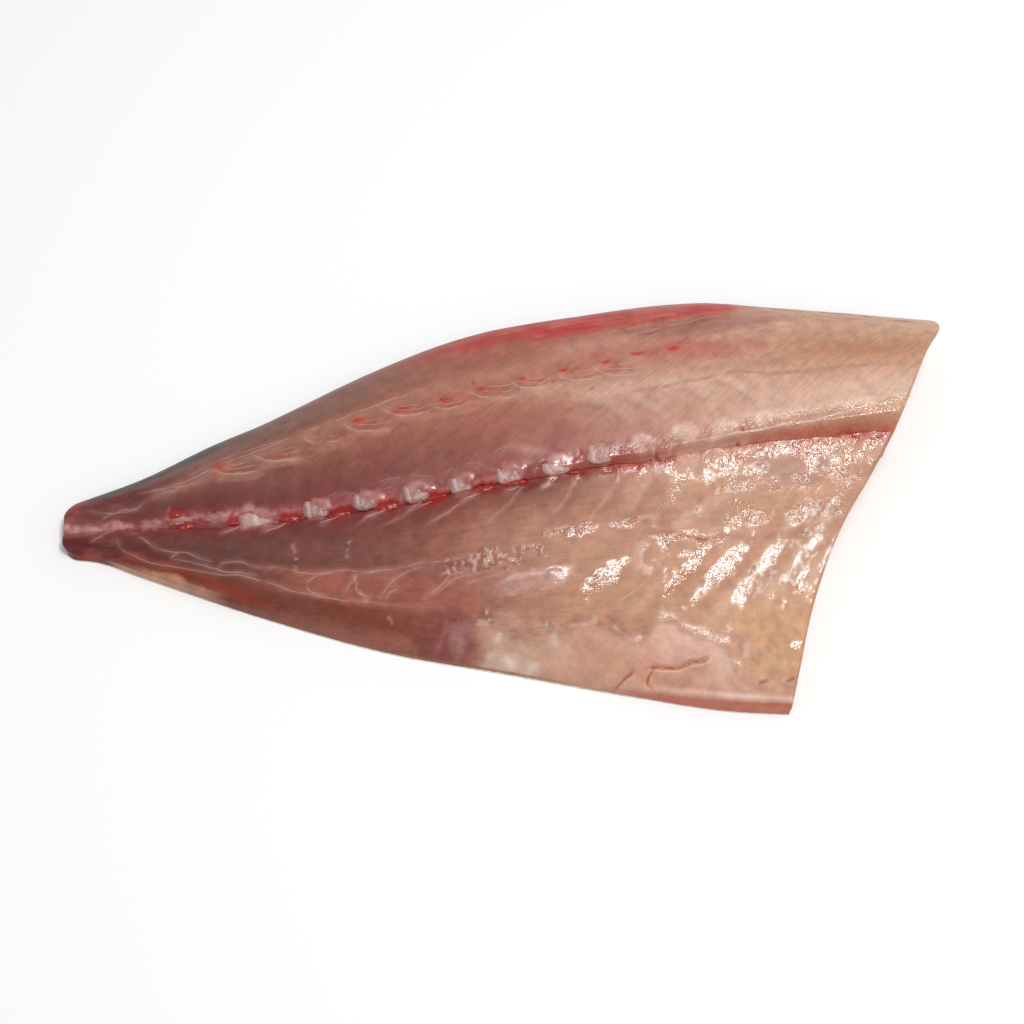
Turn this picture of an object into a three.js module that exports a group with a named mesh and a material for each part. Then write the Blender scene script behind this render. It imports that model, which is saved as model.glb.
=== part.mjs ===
// A raw yellowtail fillet with its skin on, lying skin side down, as one solid.
//
// The fish was split along its backbone. The tail stub is at -X, the slanting shoulder cut at +X,
// the back at +Y and the belly at -Y. The flesh is up: a thick back loin, the row of vertebra
// stumps that the knife left, a step down to the hollow of the rib cage with its rib ridges, and
// the thin belly flap. The skin is flat on the table and rounds up to the edge of the back.
// Millimetres, +Z up, origin under the middle of the fillet.
import * as THREE from "three";

// ---- Driving dimensions ----

// The three long lines of the fillet in plan, as [x, y] from tail to shoulder. The shoulder cut
// ends each of them before its last point.
const BACK_EDGE = [
  [-204, -1],
  [-170, 12.3],
  [-138, 29],
  [-113, 40.4],
  [-57, 68.8],
  [-15, 84.6],
  [29, 92.6],
  [87, 99.9],
  [144, 95.7],
  [206, 89],
];
const SPINE_LINE = [
  [-204, -13.7],
  [-114, -10.7],
  [-63, -6.2],
  [-21, 0.8],
  [23, 8.8],
  [63, 16.8],
  [119, 27.8],
  [206, 40.8],
];
const BELLY_EDGE = [
  [-204, -25.7],
  [-187, -27.7],
  [-168, -34.7],
  [-109, -55.2],
  [-54, -71.2],
  [0, -81.2],
  [54, -91.2],
  [108, -99.2],
  [206, -100.3],
];

// Thickness of the back loin, and height of the belly's upper edge, as [x, z].
const LOIN_THICKNESS = [
  [-204, 12],
  [-160, 15],
  [-110, 20],
  [-57, 26],
  [0, 32],
  [57, 36],
  [110, 39],
  [206, 41],
];
const BELLY_LIP = [
  [-204, 5],
  [-140, 8.5],
  [-100, 4.5],
  [0, 4],
  [30, 5],
  [60, 8.5],
  [130, 10],
  [206, 10],
];

// Depth of the step from the loin down to the root of the ribs, across the fillet, as [x, y width].
const STEP_WIDTH = [
  [-204, 2.5],
  [-114, 4],
  [23, 4],
  [98, 6.5],
  [180, 11],
  [206, 12],
];

// Heights across the fillet as shares of the loin's thickness: [place, height]. On the back the
// place runs from the spine line (0) to the edge (1), on the belly from the rib root (0) to the lip.
const BACK_PROFILE = {
  tail: [[0, 0.93], [0.35, 1], [0.67, 0.87], [0.86, 0.7], [0.95, 0.56], [1, 0.42]],
  head: [[0, 0.96], [0.3, 1], [0.67, 0.88], [0.86, 0.7], [0.95, 0.56], [1, 0.42]],
};
const BELLY_PROFILE = {
  tail: [[0, 0.88], [0.3, 0.92], [0.6, 0.76], [0.85, 0.5]],
  head: [[0, 0.77], [0.12, 0.68], [0.35, 0.64], [0.5, 0.57], [0.75, 0.41], [0.92, 0.32]],
};
const RIB_CAGE_STARTS = 0; // x where the tail's profile begins to turn into the rib cage's
const RIB_CAGE_FULL = 110;

// The shoulder cut in plan, as [y, x] of its upper edge. Its foot lies further back than its top.
const SHOULDER_CUT = [
  [-100, 127.8],
  [-83, 131.7],
  [-51, 139.7],
  [-19, 152.5],
  [8, 168.3],
  [29, 180],
  [62, 194.3],
  [81, 204],
  [93, 199],
];
const CUT_LEAN = 0.15; // lean of the cut, as a share of the height above the table

const TAIL_CUT = -204;
const TAIL_CORNER = 7; // radius of the tail stub's corners in plan
const WALL_LEAN = 1.2; // how far the belly wall's foot stands outside its lip
const BACK_UNDERCUT = 1.1; // run of the skin under the back's edge, as a share of the edge's height
const BACK_UNDERCUT_LEAST = 3;

// Vertebrae: stump number n stands at FIRST + PITCH * n - SHORTENING * n^2 along X.
const VERTEBRA = { first: -114, pitch: 24.25, shortening: 0.25, from: -3, to: 13 };
const STUMP = { length: 4.6, width: 3.8, height: 2.6, buried: 1.1 };
const SPINE_GROOVE = { depth: 1.6, width: 4 };
const RIB = { lean: 0.75, height: 1.9, starts: 25, full: 75 };

// Mesh: sections from tail to shoulder, and points across the top and round the underside.
const SECTIONS = 108;
const BELLY_POINTS = 16;
const STEP_POINTS = 3;
const BACK_POINTS = 13;
const SKIN_ARC_POINTS = 4;
const UNDERSIDE_POINTS = 5;

// ---- Curves ----

// A smooth function through [x, y] points: a cubic in each span, with slopes from its neighbours.
function through(points) {
  const slope = points.map((p, i) => {
    const [before, after] = [points[Math.max(i - 1, 0)], points[Math.min(i + 1, points.length - 1)]];
    return (after[1] - before[1]) / (after[0] - before[0]);
  });
  return (x) => {
    const last = points.length - 2;
    let i = 0;
    while (i < last && x > points[i + 1][0]) i += 1;
    const [[x0, y0], [x1, y1]] = [points[i], points[i + 1]];
    const width = x1 - x0;
    const t = THREE.MathUtils.clamp((x - x0) / width, 0, 1);
    const [t2, t3] = [t * t, t * t * t];
    return (
      (2 * t3 - 3 * t2 + 1) * y0 +
      (t3 - 2 * t2 + t) * width * slope[i] +
      (3 * t2 - 2 * t3) * y1 +
      (t3 - t2) * width * slope[i + 1]
    );
  };
}

const { smoothstep, lerp } = THREE.MathUtils;
const backEdge = through(BACK_EDGE);
const spineLine = through(SPINE_LINE);
const bellyFoot = through(BELLY_EDGE);
const loinThickness = through(LOIN_THICKNESS);
const lipHeight = through(BELLY_LIP);
const stepWidth = through(STEP_WIDTH);
const shoulderCut = through(SHOULDER_CUT);
const backProfile = { tail: through(BACK_PROFILE.tail), head: through(BACK_PROFILE.head) };

const bellyLip = (x) => bellyFoot(x) + WALL_LEAN;
const ribRoot = (x) => spineLine(x) - stepWidth(x);
const ribCage = (x) => smoothstep(x, RIB_CAGE_STARTS, RIB_CAGE_FULL);

// The number of the vertebra at x, with a fraction between two of them.
function vertebraAt(x) {
  const { first, pitch, shortening } = VERTEBRA;
  return (pitch - Math.sqrt(pitch ** 2 - 4 * shortening * (x - first))) / (2 * shortening);
}

// ---- The upper face ----

function backHeight(x, y) {
  const place = (y - spineLine(x)) / (backEdge(x) - spineLine(x));
  return loinThickness(x) * lerp(backProfile.tail(place), backProfile.head(place), ribCage(x));
}

function bellyHeight(x, y) {
  const place = (ribRoot(x) - y) / (ribRoot(x) - bellyLip(x));
  const lip = [1, lipHeight(x) / loinThickness(x)];
  const tail = through([...BELLY_PROFILE.tail, lip])(place);
  const head = through([...BELLY_PROFILE.head, lip])(place);
  return loinThickness(x) * lerp(tail, head, ribCage(x));
}

function stepHeight(x, y) {
  const share = smoothstep(y, ribRoot(x), spineLine(x));
  return lerp(bellyHeight(x, ribRoot(x)), backHeight(x, spineLine(x)), share);
}

const bump = (distance, reach) => Math.exp(-((distance / reach) ** 2));

// The stumps stand in a shallow groove. They sink into the loin towards the shoulder.
function spineRelief(x, y) {
  const across = y - spineLine(x) + stepWidth(x) / 2;
  const fading = 1 - ribCage(x);
  let relief = -SPINE_GROOVE.depth * fading * bump(across, SPINE_GROOVE.width);
  for (let n = VERTEBRA.from; n <= VERTEBRA.to; n += 1) {
    const centre = VERTEBRA.first + VERTEBRA.pitch * n - VERTEBRA.shortening * n ** 2;
    const along = bump(x - centre, STUMP.length);
    relief += lerp(STUMP.buried, STUMP.height, fading) * along * bump(across, STUMP.width);
  }
  return relief;
}

// Ribs run from the spine down and back towards the tail, one to each vertebra.
function ribRelief(x, y) {
  const below = ribRoot(x) - y;
  if (below <= 0) return 0;
  const depth = ribRoot(x) - bellyLip(x);
  const inside = smoothstep(below, 0, 0.12 * depth) * (1 - smoothstep(below, 0.55 * depth, 0.85 * depth));
  const count = vertebraAt(Math.min(x + RIB.lean * below, 206));
  const ridge = Math.abs(Math.sin(Math.PI * count)) ** 0.7 - 0.6;
  return RIB.height * smoothstep(x + RIB.lean * below, RIB.starts, RIB.full) * inside * ridge;
}

function topHeight(x, y) {
  let height = stepHeight(x, y);
  if (y > spineLine(x)) height = backHeight(x, y);
  if (y < ribRoot(x)) height = bellyHeight(x, y);
  return height + spineRelief(x, y) + ribRelief(x, y);
}

// ---- The solid ----

const SPINE_PLACE = 0.5;
const ROOT_PLACE = 0.46;

// x of the tail cut, with the stub's corners rounded in plan.
function tailCut(place) {
  const towardsCorner = Math.max(Math.abs(place - 0.5) * 2 - 0.5, 0) * 2;
  return TAIL_CUT + TAIL_CORNER * (1 - Math.sqrt(1 - Math.min(towardsCorner, 0.98) ** 2));
}

// y of a place across (0 belly lip, 1 edge of the back) at x.
function acrossAt(x, place) {
  if (place < ROOT_PLACE) return lerp(bellyLip(x), ribRoot(x), place / ROOT_PLACE);
  if (place < SPINE_PLACE) {
    return lerp(ribRoot(x), spineLine(x), (place - ROOT_PLACE) / (SPINE_PLACE - ROOT_PLACE));
  }
  return lerp(spineLine(x), backEdge(x), (place - SPINE_PLACE) / (1 - SPINE_PLACE));
}

function spread(from, to, count) {
  return Array.from({ length: count }, (_, i) => lerp(from, to, i / count));
}

const TOP_PLACES = [
  ...spread(0, ROOT_PLACE, BELLY_POINTS),
  ...spread(ROOT_PLACE, SPINE_PLACE, STEP_POINTS),
  ...spread(SPINE_PLACE, 1, BACK_POINTS),
  1,
];

// x of the shoulder cut on a long line of the fillet, given as y for x.
function cutOn(line) {
  let x = shoulderCut(0);
  for (let i = 0; i < 12; i += 1) x = shoulderCut(line(x));
  return x;
}

// y where the flat underside ends below the edge of the back.
function backFoot(x) {
  return backEdge(x) - BACK_UNDERCUT * topHeight(x, backEdge(x)) - BACK_UNDERCUT_LEAST;
}

const underAcross = (x, place) => lerp(bellyFoot(x), backFoot(x), place);

// Where each point of a section's ring starts and ends along X, so that the ends are found once.
const TOP_ENDS = TOP_PLACES.map((place) => cutOn((x) => acrossAt(x, place)));
const UNDERSIDE_PLACES = [...spread(1, 0, UNDERSIDE_POINTS), 0];
const UNDERSIDE_ENDS = UNDERSIDE_PLACES.map((place) => {
  const x = cutOn((along) => underAcross(along, place));
  return x - CUT_LEAN * topHeight(x, underAcross(x, place));
});

// One closed ring of points round the fillet, at a share of the way from tail to shoulder.
function ring(share) {
  const top = TOP_PLACES.map((place, i) => {
    const x = lerp(tailCut(place), TOP_ENDS[i], share);
    const y = acrossAt(x, place);
    return new THREE.Vector3(x, y, topHeight(x, y));
  });
  const underside = UNDERSIDE_PLACES.map((place, i) => {
    const x = lerp(tailCut(place), UNDERSIDE_ENDS[i], share);
    return new THREE.Vector3(x, underAcross(x, place), 0);
  });
  const [edge, foot] = [top[top.length - 1], underside[0]];
  const skinArc = spread(0, Math.PI / 2, SKIN_ARC_POINTS).slice(1).map((angle) => {
    const [down, inward] = [Math.sin(angle), 1 - Math.cos(angle)];
    return new THREE.Vector3(lerp(edge.x, foot.x, down), lerp(edge.y, foot.y, inward), edge.z * (1 - down));
  });
  return [...top, ...skinArc, ...underside];
}

// Triangles across the end of a ring, zipped between its upper points and its lower ones.
function endFace(points) {
  const upper = points.slice(0, TOP_PLACES.length).map((_, i) => i);
  const lower = points.map((_, i) => i).slice(TOP_PLACES.length).reverse();
  const faces = [];
  let [u, l] = [0, 0];
  while (u + 1 < upper.length || l + 1 < lower.length) {
    const stepUpper =
      l + 1 === lower.length ||
      (u + 1 < upper.length && points[upper[u + 1]].y < points[lower[l + 1]].y);
    if (stepUpper) {
      faces.push([upper[u], upper[u + 1], lower[l]]);
      u += 1;
    } else {
      faces.push([upper[u], lower[l + 1], lower[l]]);
      l += 1;
    }
  }
  return faces;
}

function closedLoft(rings) {
  const size = rings[0].length;
  const index = [];
  for (let s = 0; s + 1 < rings.length; s += 1) {
    for (let i = 0; i < size; i += 1) {
      const [a, b] = [s * size + i, s * size + ((i + 1) % size)];
      index.push(a, a + size, b, b, a + size, b + size);
    }
  }
  for (const [a, b, c] of endFace(rings[0])) index.push(a, b, c);
  const end = (rings.length - 1) * size;
  for (const [a, b, c] of endFace(rings[rings.length - 1])) index.push(end + a, end + c, end + b);
  const geometry = new THREE.BufferGeometry().setFromPoints(rings.flat());
  geometry.setIndex(index);
  geometry.computeVertexNormals();
  return geometry;
}

function fillet() {
  const rings = Array.from({ length: SECTIONS + 1 }, (_, s) => ring(s / SECTIONS));
  const flesh = new THREE.MeshStandardMaterial({ color: 0xb98469, roughness: 0.35, metalness: 0 });
  const mesh = new THREE.Mesh(closedLoft(rings), flesh);
  mesh.name = "fillet";
  return mesh;
}

const part = new THREE.Group();
part.add(fillet());

export default part;
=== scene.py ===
import bmesh
import bpy
import numpy as np
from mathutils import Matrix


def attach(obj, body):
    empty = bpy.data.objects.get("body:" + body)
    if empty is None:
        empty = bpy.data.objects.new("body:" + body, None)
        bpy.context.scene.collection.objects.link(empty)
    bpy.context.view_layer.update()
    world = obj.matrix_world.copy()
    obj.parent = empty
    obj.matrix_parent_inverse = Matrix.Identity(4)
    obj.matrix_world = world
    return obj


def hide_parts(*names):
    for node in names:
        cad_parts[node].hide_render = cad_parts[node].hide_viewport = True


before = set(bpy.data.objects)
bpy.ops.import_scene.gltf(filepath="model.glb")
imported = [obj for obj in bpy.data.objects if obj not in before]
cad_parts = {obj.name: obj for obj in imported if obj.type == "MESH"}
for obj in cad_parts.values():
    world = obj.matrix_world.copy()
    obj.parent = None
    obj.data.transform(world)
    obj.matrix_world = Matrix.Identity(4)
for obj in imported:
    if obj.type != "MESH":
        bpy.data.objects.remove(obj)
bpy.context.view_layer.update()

# ---------------------------------------------------------------------------------------------
# The back loin is the thick muscle above the backbone, from the tail stub to the shoulder cut:
# raw flesh in long oblique fibres, wine-brown at the tail and pale at the shoulder. It is a grid
# of points lifted by functions of x and y in millimetres, with walls down to the skin.
# ---------------------------------------------------------------------------------------------


def lerp(a, b, share):
    return a + (b - a) * share


def rise(x, low, high):
    """0 below low and 1 above high, with a smooth curve between them."""
    t = np.clip((x - low) / (high - low), 0, 1)
    return t * t * (3 - 2 * t)


def fall(x, low, high):
    """1 below low and 0 above high, with a smooth curve between them."""
    return 1 - rise(x, low, high)


def between(x, rising, falling):
    """1 between two spans of x: it rises from 0 over the first and falls to 0 over the second."""
    return rise(x, *rising) * fall(x, *falling)


def bump(distance, reach):
    """1 at no distance, and nearly 0 at twice the reach."""
    return np.exp(-((distance / reach) ** 2))


def through(points):
    """A smooth curve through [x, y] points: a cubic in each span, with slopes from its neighbours."""
    xs, ys = np.array(points, float).T
    slopes = np.empty(len(xs))
    slopes[1:-1] = (ys[2:] - ys[:-2]) / (xs[2:] - xs[:-2])
    slopes[0] = (ys[1] - ys[0]) / (xs[1] - xs[0])
    slopes[-1] = (ys[-1] - ys[-2]) / (xs[-1] - xs[-2])

    def value(x):
        i = np.clip(np.searchsorted(xs, x) - 1, 0, len(xs) - 2)
        width = xs[i + 1] - xs[i]
        t = np.clip((x - xs[i]) / width, 0, 1)
        t2, t3 = t * t, t * t * t
        return (
            (2 * t3 - 3 * t2 + 1) * ys[i]
            + (t3 - 2 * t2 + t) * width * slopes[i]
            + (3 * t2 - 2 * t3) * ys[i + 1]
            + (t3 - t2) * width * slopes[i + 1]
        )

    return value


# The fillet's long lines in plan and its heights, from the tail (-X) to the shoulder.
back_edge = through([[-204, -1], [-170, 12.3], [-138, 29], [-113, 40.4], [-57, 68.8], [-15, 84.6],
                     [29, 92.6], [87, 99.9], [144, 95.7], [206, 89]])
spine_line = through([[-204, -13.7], [-114, -10.7], [-63, -6.2], [-21, 0.8], [23, 8.8],
                      [63, 16.8], [119, 27.8], [206, 40.8]])
step_width = through([[-204, 2.5], [-114, 4], [23, 4], [98, 6.5], [180, 11], [206, 12]])
loin_thickness = through([[-204, 12], [-160, 15], [-110, 20], [-57, 26], [0, 32], [57, 36],
                          [110, 39], [206, 41]])
back_profile_tail = through([[0, 0.93], [0.35, 1], [0.67, 0.87], [0.86, 0.7], [0.95, 0.56],
                             [1, 0.42]])
back_profile_head = through([[0, 0.96], [0.3, 1], [0.67, 0.88], [0.86, 0.7], [0.95, 0.56],
                             [1, 0.42]])
shoulder_cut = through([[-100, 127.8], [-83, 131.7], [-51, 139.7], [-19, 152.5], [8, 168.3],
                        [29, 180], [62, 194.3], [81, 204], [93, 199]])
# How far the shoulder cut leans in, for each millimetre of height.
CUT_LEAN = 0.15
TAIL_CUT = -204
TAIL_CORNER = 7
# Where the backbone stands across the tail's cut face, from its belly corner (0) to its back (1).
TAIL_SPINE = 0.46
# How far the back tucks in under its edge: a share of the thickness, and a little more.
BACK_UNDERCUT = 0.462
BACK_UNDERCUT_LEAST = 3
SKIN = 0.7
CUT_ROUNDING = 1.4
STEP_ROUNDING = 1.2
CREST_ROUNDING = 5.0
CREST_DROP = 3.5
SPINE_GROOVE = {"depth": 1.6, "width": 4}

def lattice(column, row, seed):
    """A number from -1 to 1 for each corner of a grid, which looks random and is always the same."""
    n = np.sin(column * 127.1 + row * 311.7 + seed * 74.7) * 43758.5453
    return 2 * (n - np.floor(n)) - 1


def noise(x, y, size, seed):
    """A smooth random field from -1 to 1, with lumps of about the size given."""
    column, row = np.floor(x / size), np.floor(y / size)
    across, up = rise(x / size - column, 0, 1), rise(y / size - row, 0, 1)
    low = lerp(lattice(column, row, seed), lattice(column + 1, row, seed), across)
    high = lerp(lattice(column, row + 1, seed), lattice(column + 1, row + 1, seed), across)
    return lerp(low, high, up)


def cloud(x, y, size, seed):
    """Three sizes of noise together, from about -1 to 1."""
    total = noise(x, y, size, seed) + 0.5 * noise(x + y / 3, y - x / 3, size / 2.1, seed + 1)
    return (total + 0.25 * noise(x, y, size / 4.3, seed + 2)) / 1.4


def rib_root(x):
    """y of the crease where the loin's step meets the belly, which wanders a little."""
    wander = 0.8 * noise(x, 0 * x, 17, 91) + 0.4 * noise(x, 0 * x, 6, 92)
    return spine_line(x) - step_width(x) + wander


def rib_cage(x):
    """0 in the tail, 1 in the belly hollow of the shoulder end."""
    return rise(x, 0, 110)


def rolled(distance, radius):
    """How far a rounded edge of a radius has dropped, at a distance inside it."""
    gap = np.clip(radius - distance, 0, radius)
    return radius - np.sqrt(radius**2 - gap**2)


def loin_height(x, y):
    """Height of the back loin, with the step down to the root of the ribs along its foot."""
    place = (y - spine_line(x)) / (back_edge(x) - spine_line(x))
    share = lerp(back_profile_tail(place), back_profile_head(place), rib_cage(x))
    loin = loin_thickness(x) * share
    crest = loin_thickness(x) * lerp(0.93, 0.96, rib_cage(x))
    foot = loin_thickness(x) * lerp(0.88, 0.77, rib_cage(x))
    step = lerp(foot, crest, rise(y, rib_root(x), spine_line(x) - CREST_DROP * rib_cage(x)))
    height = lerp(step, loin, rise(y - spine_line(x), -CREST_ROUNDING, CREST_ROUNDING))
    groove = bump(y - spine_line(x) + step_width(x) / 2, SPINE_GROOVE["width"])
    return height - SPINE_GROOVE["depth"] * (1 - rib_cage(x)) * groove


def smooth_line(points, steps=6):
    """A rounded line through given points."""
    points = np.array(points, float)
    padded = np.vstack([2 * points[0] - points[1], points, 2 * points[-1] - points[-2]])
    line = []
    for a, b, c, d in zip(padded[:-3], padded[1:-2], padded[2:-1], padded[3:]):
        for t in np.arange(steps) / steps:
            line.append(
                0.5 * (2 * b + (c - a) * t + (2 * a - 5 * b + 4 * c - d) * t**2
                       + (3 * b - a - 3 * c + d) * t**3)
            )
    return np.array(line + [points[-1]])


def stroke(x, y, points, reach, ends=0.15):
    """1 along a rounded line through the points, fading to 0 beside it and at its two ends."""
    line = smooth_line(points)
    lowest, highest = line.min(0) - 3 * reach, line.max(0) + 3 * reach
    near = (x > lowest[0]) & (x < highest[0]) & (y > lowest[1]) & (y < highest[1])
    nx, ny = x[near], y[near]
    best = np.full(nx.shape, 1e9)
    along = np.zeros(nx.shape)
    for i, ((ax, ay), (bx, by)) in enumerate(zip(line[:-1], line[1:])):
        dx, dy = bx - ax, by - ay
        t = np.clip(((nx - ax) * dx + (ny - ay) * dy) / (dx * dx + dy * dy + 1e-12), 0, 1)
        distance = (nx - ax - t * dx) ** 2 + (ny - ay - t * dy) ** 2
        along = np.where(distance < best, (i + t) / (len(line) - 1), along)
        best = np.minimum(best, distance)
    mask = np.zeros(x.shape)
    fade = 1 if ends == 0 else between(along, (0, ends), (1 - ends, 1))
    mask[near] = np.exp(-best / reach**2) * fade
    return mask


def blotch(x, y, centre, size, turn=0, ragged=0.25, seed=3):
    """A soft patch of a length and width, turned by degrees, with a ragged rim."""
    angle = np.radians(turn)
    dx, dy = x - centre[0], y - centre[1]
    u = (dx * np.cos(angle) + dy * np.sin(angle)) / size[0]
    v = (dy * np.cos(angle) - dx * np.sin(angle)) / size[1]
    distance = np.sqrt(u**2 + v**2) + ragged * cloud(x, y, min(size), seed)
    return fall(distance, 0.55, 1.15)


def linear(red, green, blue):
    """A colour in linear light, from screen values of 0 to 255."""
    c = np.array([red, green, blue]) / 255
    return np.where(c < 0.04045, c / 12.92, ((c + 0.055) / 1.055) ** 2.4)


def colour_along(x, stops):
    """Linear colours that change smoothly from stop to stop along x."""
    places = [place for place, _ in stops]
    colours = np.array([linear(*colour) for _, colour in stops])
    return np.stack([np.interp(x, places, colours[:, i]) for i in range(3)], -1)


def paint(tint, colour, amount):
    """Lays a colour over the tint, by an amount from 0 to 1 at each vertex."""
    return lerp(tint, linear(*colour), np.clip(amount, 0, 1)[..., None])


def tail_cut(place):
    """x of the tail's cut face, with round corners in plan; the place runs 0 to 1 across it."""
    corner = np.clip(np.maximum(np.abs(place - 0.5) * 2 - 0.5, 0) * 2, 0, 0.98)
    return TAIL_CUT + TAIL_CORNER * (1 - np.sqrt(1 - corner**2))


FLESH_STATIONS = 600
# Rows of points stand closer at the two cuts: millimetres from the end of a strip 400 mm long.
CLOSE_ROWS = np.array([0, 0.15, 0.35, 0.65, 1.05, 1.6, 2.2]) / 400


def grid_xy(low_line, high_line, low_place, high_place, points):
    """x and y of a grid from tail to shoulder, between two long lines, and x at its two ends."""
    near_end = CLOSE_ROWS[:-1]
    middle = np.linspace(CLOSE_ROWS[-1], 1 - CLOSE_ROWS[-1], FLESH_STATIONS - 2 * len(near_end))
    share = np.concatenate([near_end, middle, 1 - near_end[::-1]])[:, None]
    across = np.linspace(0, 1, points)[None, :]
    # The shoulder cut slants, so the end of each long line is found step by step.
    end = np.full((1, points), 160.0)
    for _ in range(14):
        end = shoulder_cut(lerp(low_line(end), high_line(end), across))
    start = tail_cut(lerp(low_place, high_place, across))
    x = lerp(start, end, share)
    return x, lerp(low_line(x), high_line(x), across), start, end


def flesh_top(grid, height_at, dress):
    """A grid of points on the dressed upper face, rounded off at the cuts and along the ribs."""
    x, y, tail_x, cut_x = grid
    z = height_at(x, y) + dress(x, y)[0]
    z = z - rolled(cut_x - x, CUT_ROUNDING) - rolled(x - tail_x, CUT_ROUNDING)
    z = z - lerp(0.5, 0.12, rib_cage(x)) * rolled(np.abs(y - rib_root(x)), STEP_ROUNDING)
    return np.stack([x, y, z], -1)


def placed(name, data):
    """Puts an object made of a mesh, a lamp or a camera in the scene."""
    made = bpy.data.objects.new(name, data)
    bpy.context.scene.collection.objects.link(made)
    return made


WALL_ROWS = 8


def closed_mesh(name, top, foot, roundness):
    """A closed object in metres: a top grid, walls from its rim to the foot, and a flat bottom.

    top is a grid of points, foot(x, y, z) gives the foot of a rim point, and roundness, across the
    grid, is 1 where the wall is a quarter ellipse and 0 where it is straight. The walls at the two
    cut ends take the second material. Returns the object and each vertex's depth down its wall.
    """
    stations, points = top.shape[:2]
    ids = np.arange(stations * points).reshape(stations, points)
    rim = np.concatenate([ids[0, :-1], ids[:-1, -1], ids[-1, :0:-1], ids[:0:-1, 0]])
    flat = top.reshape(-1, 3)
    upper, lower = flat[rim], foot(*flat[rim].T)
    curve = np.tile(roundness, stations)[rim][:, None]
    rings, depths = [flat], [np.zeros(len(flat))]
    for row in range(1, WALL_ROWS + 1):
        share = row / WALL_ROWS
        inward = lerp(share, 1 - np.cos(share * np.pi / 2), curve)
        down = lerp(share, np.sin(share * np.pi / 2), curve)
        ring = lerp(upper, lower, inward)
        ring[:, 2] = lerp(upper[:, 2], lower[:, 2], down[:, 0])
        rings.append(ring)
        depths.append(np.full(len(rim), share))
    a, b, c, d = ids[:-1, :-1], ids[1:, :-1], ids[1:, 1:], ids[:-1, 1:]
    faces = np.stack([a, b, c, d], -1).reshape(-1, 4).tolist()
    above = rim
    for row in range(WALL_ROWS):
        below = len(flat) + row * len(rim) + np.arange(len(rim))
        faces += np.stack([above, np.roll(above, -1), np.roll(below, -1), below], -1).tolist()
        above = below
    faces.append(above.tolist())
    mesh = bpy.data.meshes.new(name)
    mesh.from_pydata((np.vstack(rings) / 1000).tolist(), [], faces)
    cut = np.zeros(len(rim), np.int32)
    cut[:points - 1] = 1
    cut[points + stations - 2:2 * points + stations - 3] = 1
    slots = np.zeros(len(faces), np.int32)
    slots[-1 - WALL_ROWS * len(rim):-1] = np.tile(cut, WALL_ROWS)
    mesh.polygons.foreach_set("material_index", slots)
    mesh.shade_smooth()
    mesh.set_sharp_from_angle(angle=np.radians(55))
    return placed(name, mesh), np.concatenate(depths)


def store(piece, name, values):
    """Keeps a number, or a row of numbers, at each vertex of a piece for its material."""
    values = np.asarray(values, np.float32)
    if values.ndim == 1:
        layer = piece.data.attributes.new(name, "FLOAT", "POINT")
        layer.data.foreach_set("value", values)
    elif name == "tint":
        layer = piece.data.attributes.new(name, "FLOAT_COLOR", "POINT")
        opaque = np.concatenate([values, np.ones((len(values), 1), np.float32)], 1)
        layer.data.foreach_set("color", opaque.ravel())
    else:
        layer = piece.data.attributes.new(name, "FLOAT_VECTOR", "POINT")
        layer.data.foreach_set("vector", values.ravel())


def vertices_mm(piece):
    """x, y and z of a piece's vertices in millimetres."""
    points = np.empty(len(piece.data.vertices) * 3)
    piece.data.vertices.foreach_get("co", points)
    return (points.reshape(-1, 3) * 1000).T


def fill(made, inputs):
    """Sets each input of a node to a value, or links it to another node's socket."""
    for key, value in inputs.items():
        if isinstance(value, bpy.types.NodeSocket):
            made.id_data.links.new(value, made.inputs[key])
        else:
            made.inputs[key].default_value = value
    return made


def node(tree, kind, inputs=None, **settings):
    """Adds a node to a tree, with its settings and inputs."""
    made = tree.nodes.new(kind)
    for key, value in settings.items():
        setattr(made, key, value)
    return fill(made, inputs or {})


def attribute(tree, name, output="Fac"):
    return node(tree, "ShaderNodeAttribute", attribute_name=name).outputs[output]


def maths(tree, operation, a, b=0.0, c=0.0):
    return node(tree, "ShaderNodeMath", {0: a, 1: b, 2: c}, operation=operation).outputs[0]


def vector_maths(tree, operation, inputs):
    return node(tree, "ShaderNodeVectorMath", inputs, operation=operation).outputs["Vector"]


def swing(tree, pattern, strength, middle):
    """A pattern from 0 to 1 turned into a swing of a strength about a middle value."""
    centred = maths(tree, "SUBTRACT", pattern, 0.5)
    return maths(tree, "MULTIPLY_ADD", centred, strength, middle)


def object_place(tree):
    return node(tree, "ShaderNodeTexCoord").outputs["Object"]


def speckle(tree, vector, scale, detail=3.0, roughness=0.55, distortion=0.0):
    """A noise pattern on a vector, from 0 to 1."""
    inputs = {"Vector": vector, "Scale": scale, "Detail": detail, "Roughness": roughness,
              "Distortion": distortion}
    return node(tree, "ShaderNodeTexNoise", inputs).outputs["Fac"]


def stretched(tree, vector, scale, shift=(0, 0, 0)):
    inputs = {"Vector": vector, "Location": shift, "Scale": scale}
    return node(tree, "ShaderNodeMapping", inputs).outputs["Vector"]


def ramped(tree, value, low, high, start=0.0, end=1.0):
    """Runs from start to end while the value goes from low to high."""
    inputs = {"Value": value, "From Min": low, "From Max": high, "To Min": start, "To Max": end}
    return node(tree, "ShaderNodeMapRange", inputs).outputs["Result"]


def mixed(tree, blend, factor, a, b):
    """Two colours blended, where each is a value or a socket."""
    inputs = {0: factor, 6: a, 7: b}
    return node(tree, "ShaderNodeMix", inputs, data_type="RGBA", blend_type=blend).outputs[2]


def relief(tree, height, strength, distance):
    """The normal of a surface that a pattern roughens, to a distance in metres."""
    inputs = {"Height": height, "Strength": strength, "Distance": distance}
    return node(tree, "ShaderNodeBump", inputs).outputs["Normal"]


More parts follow.
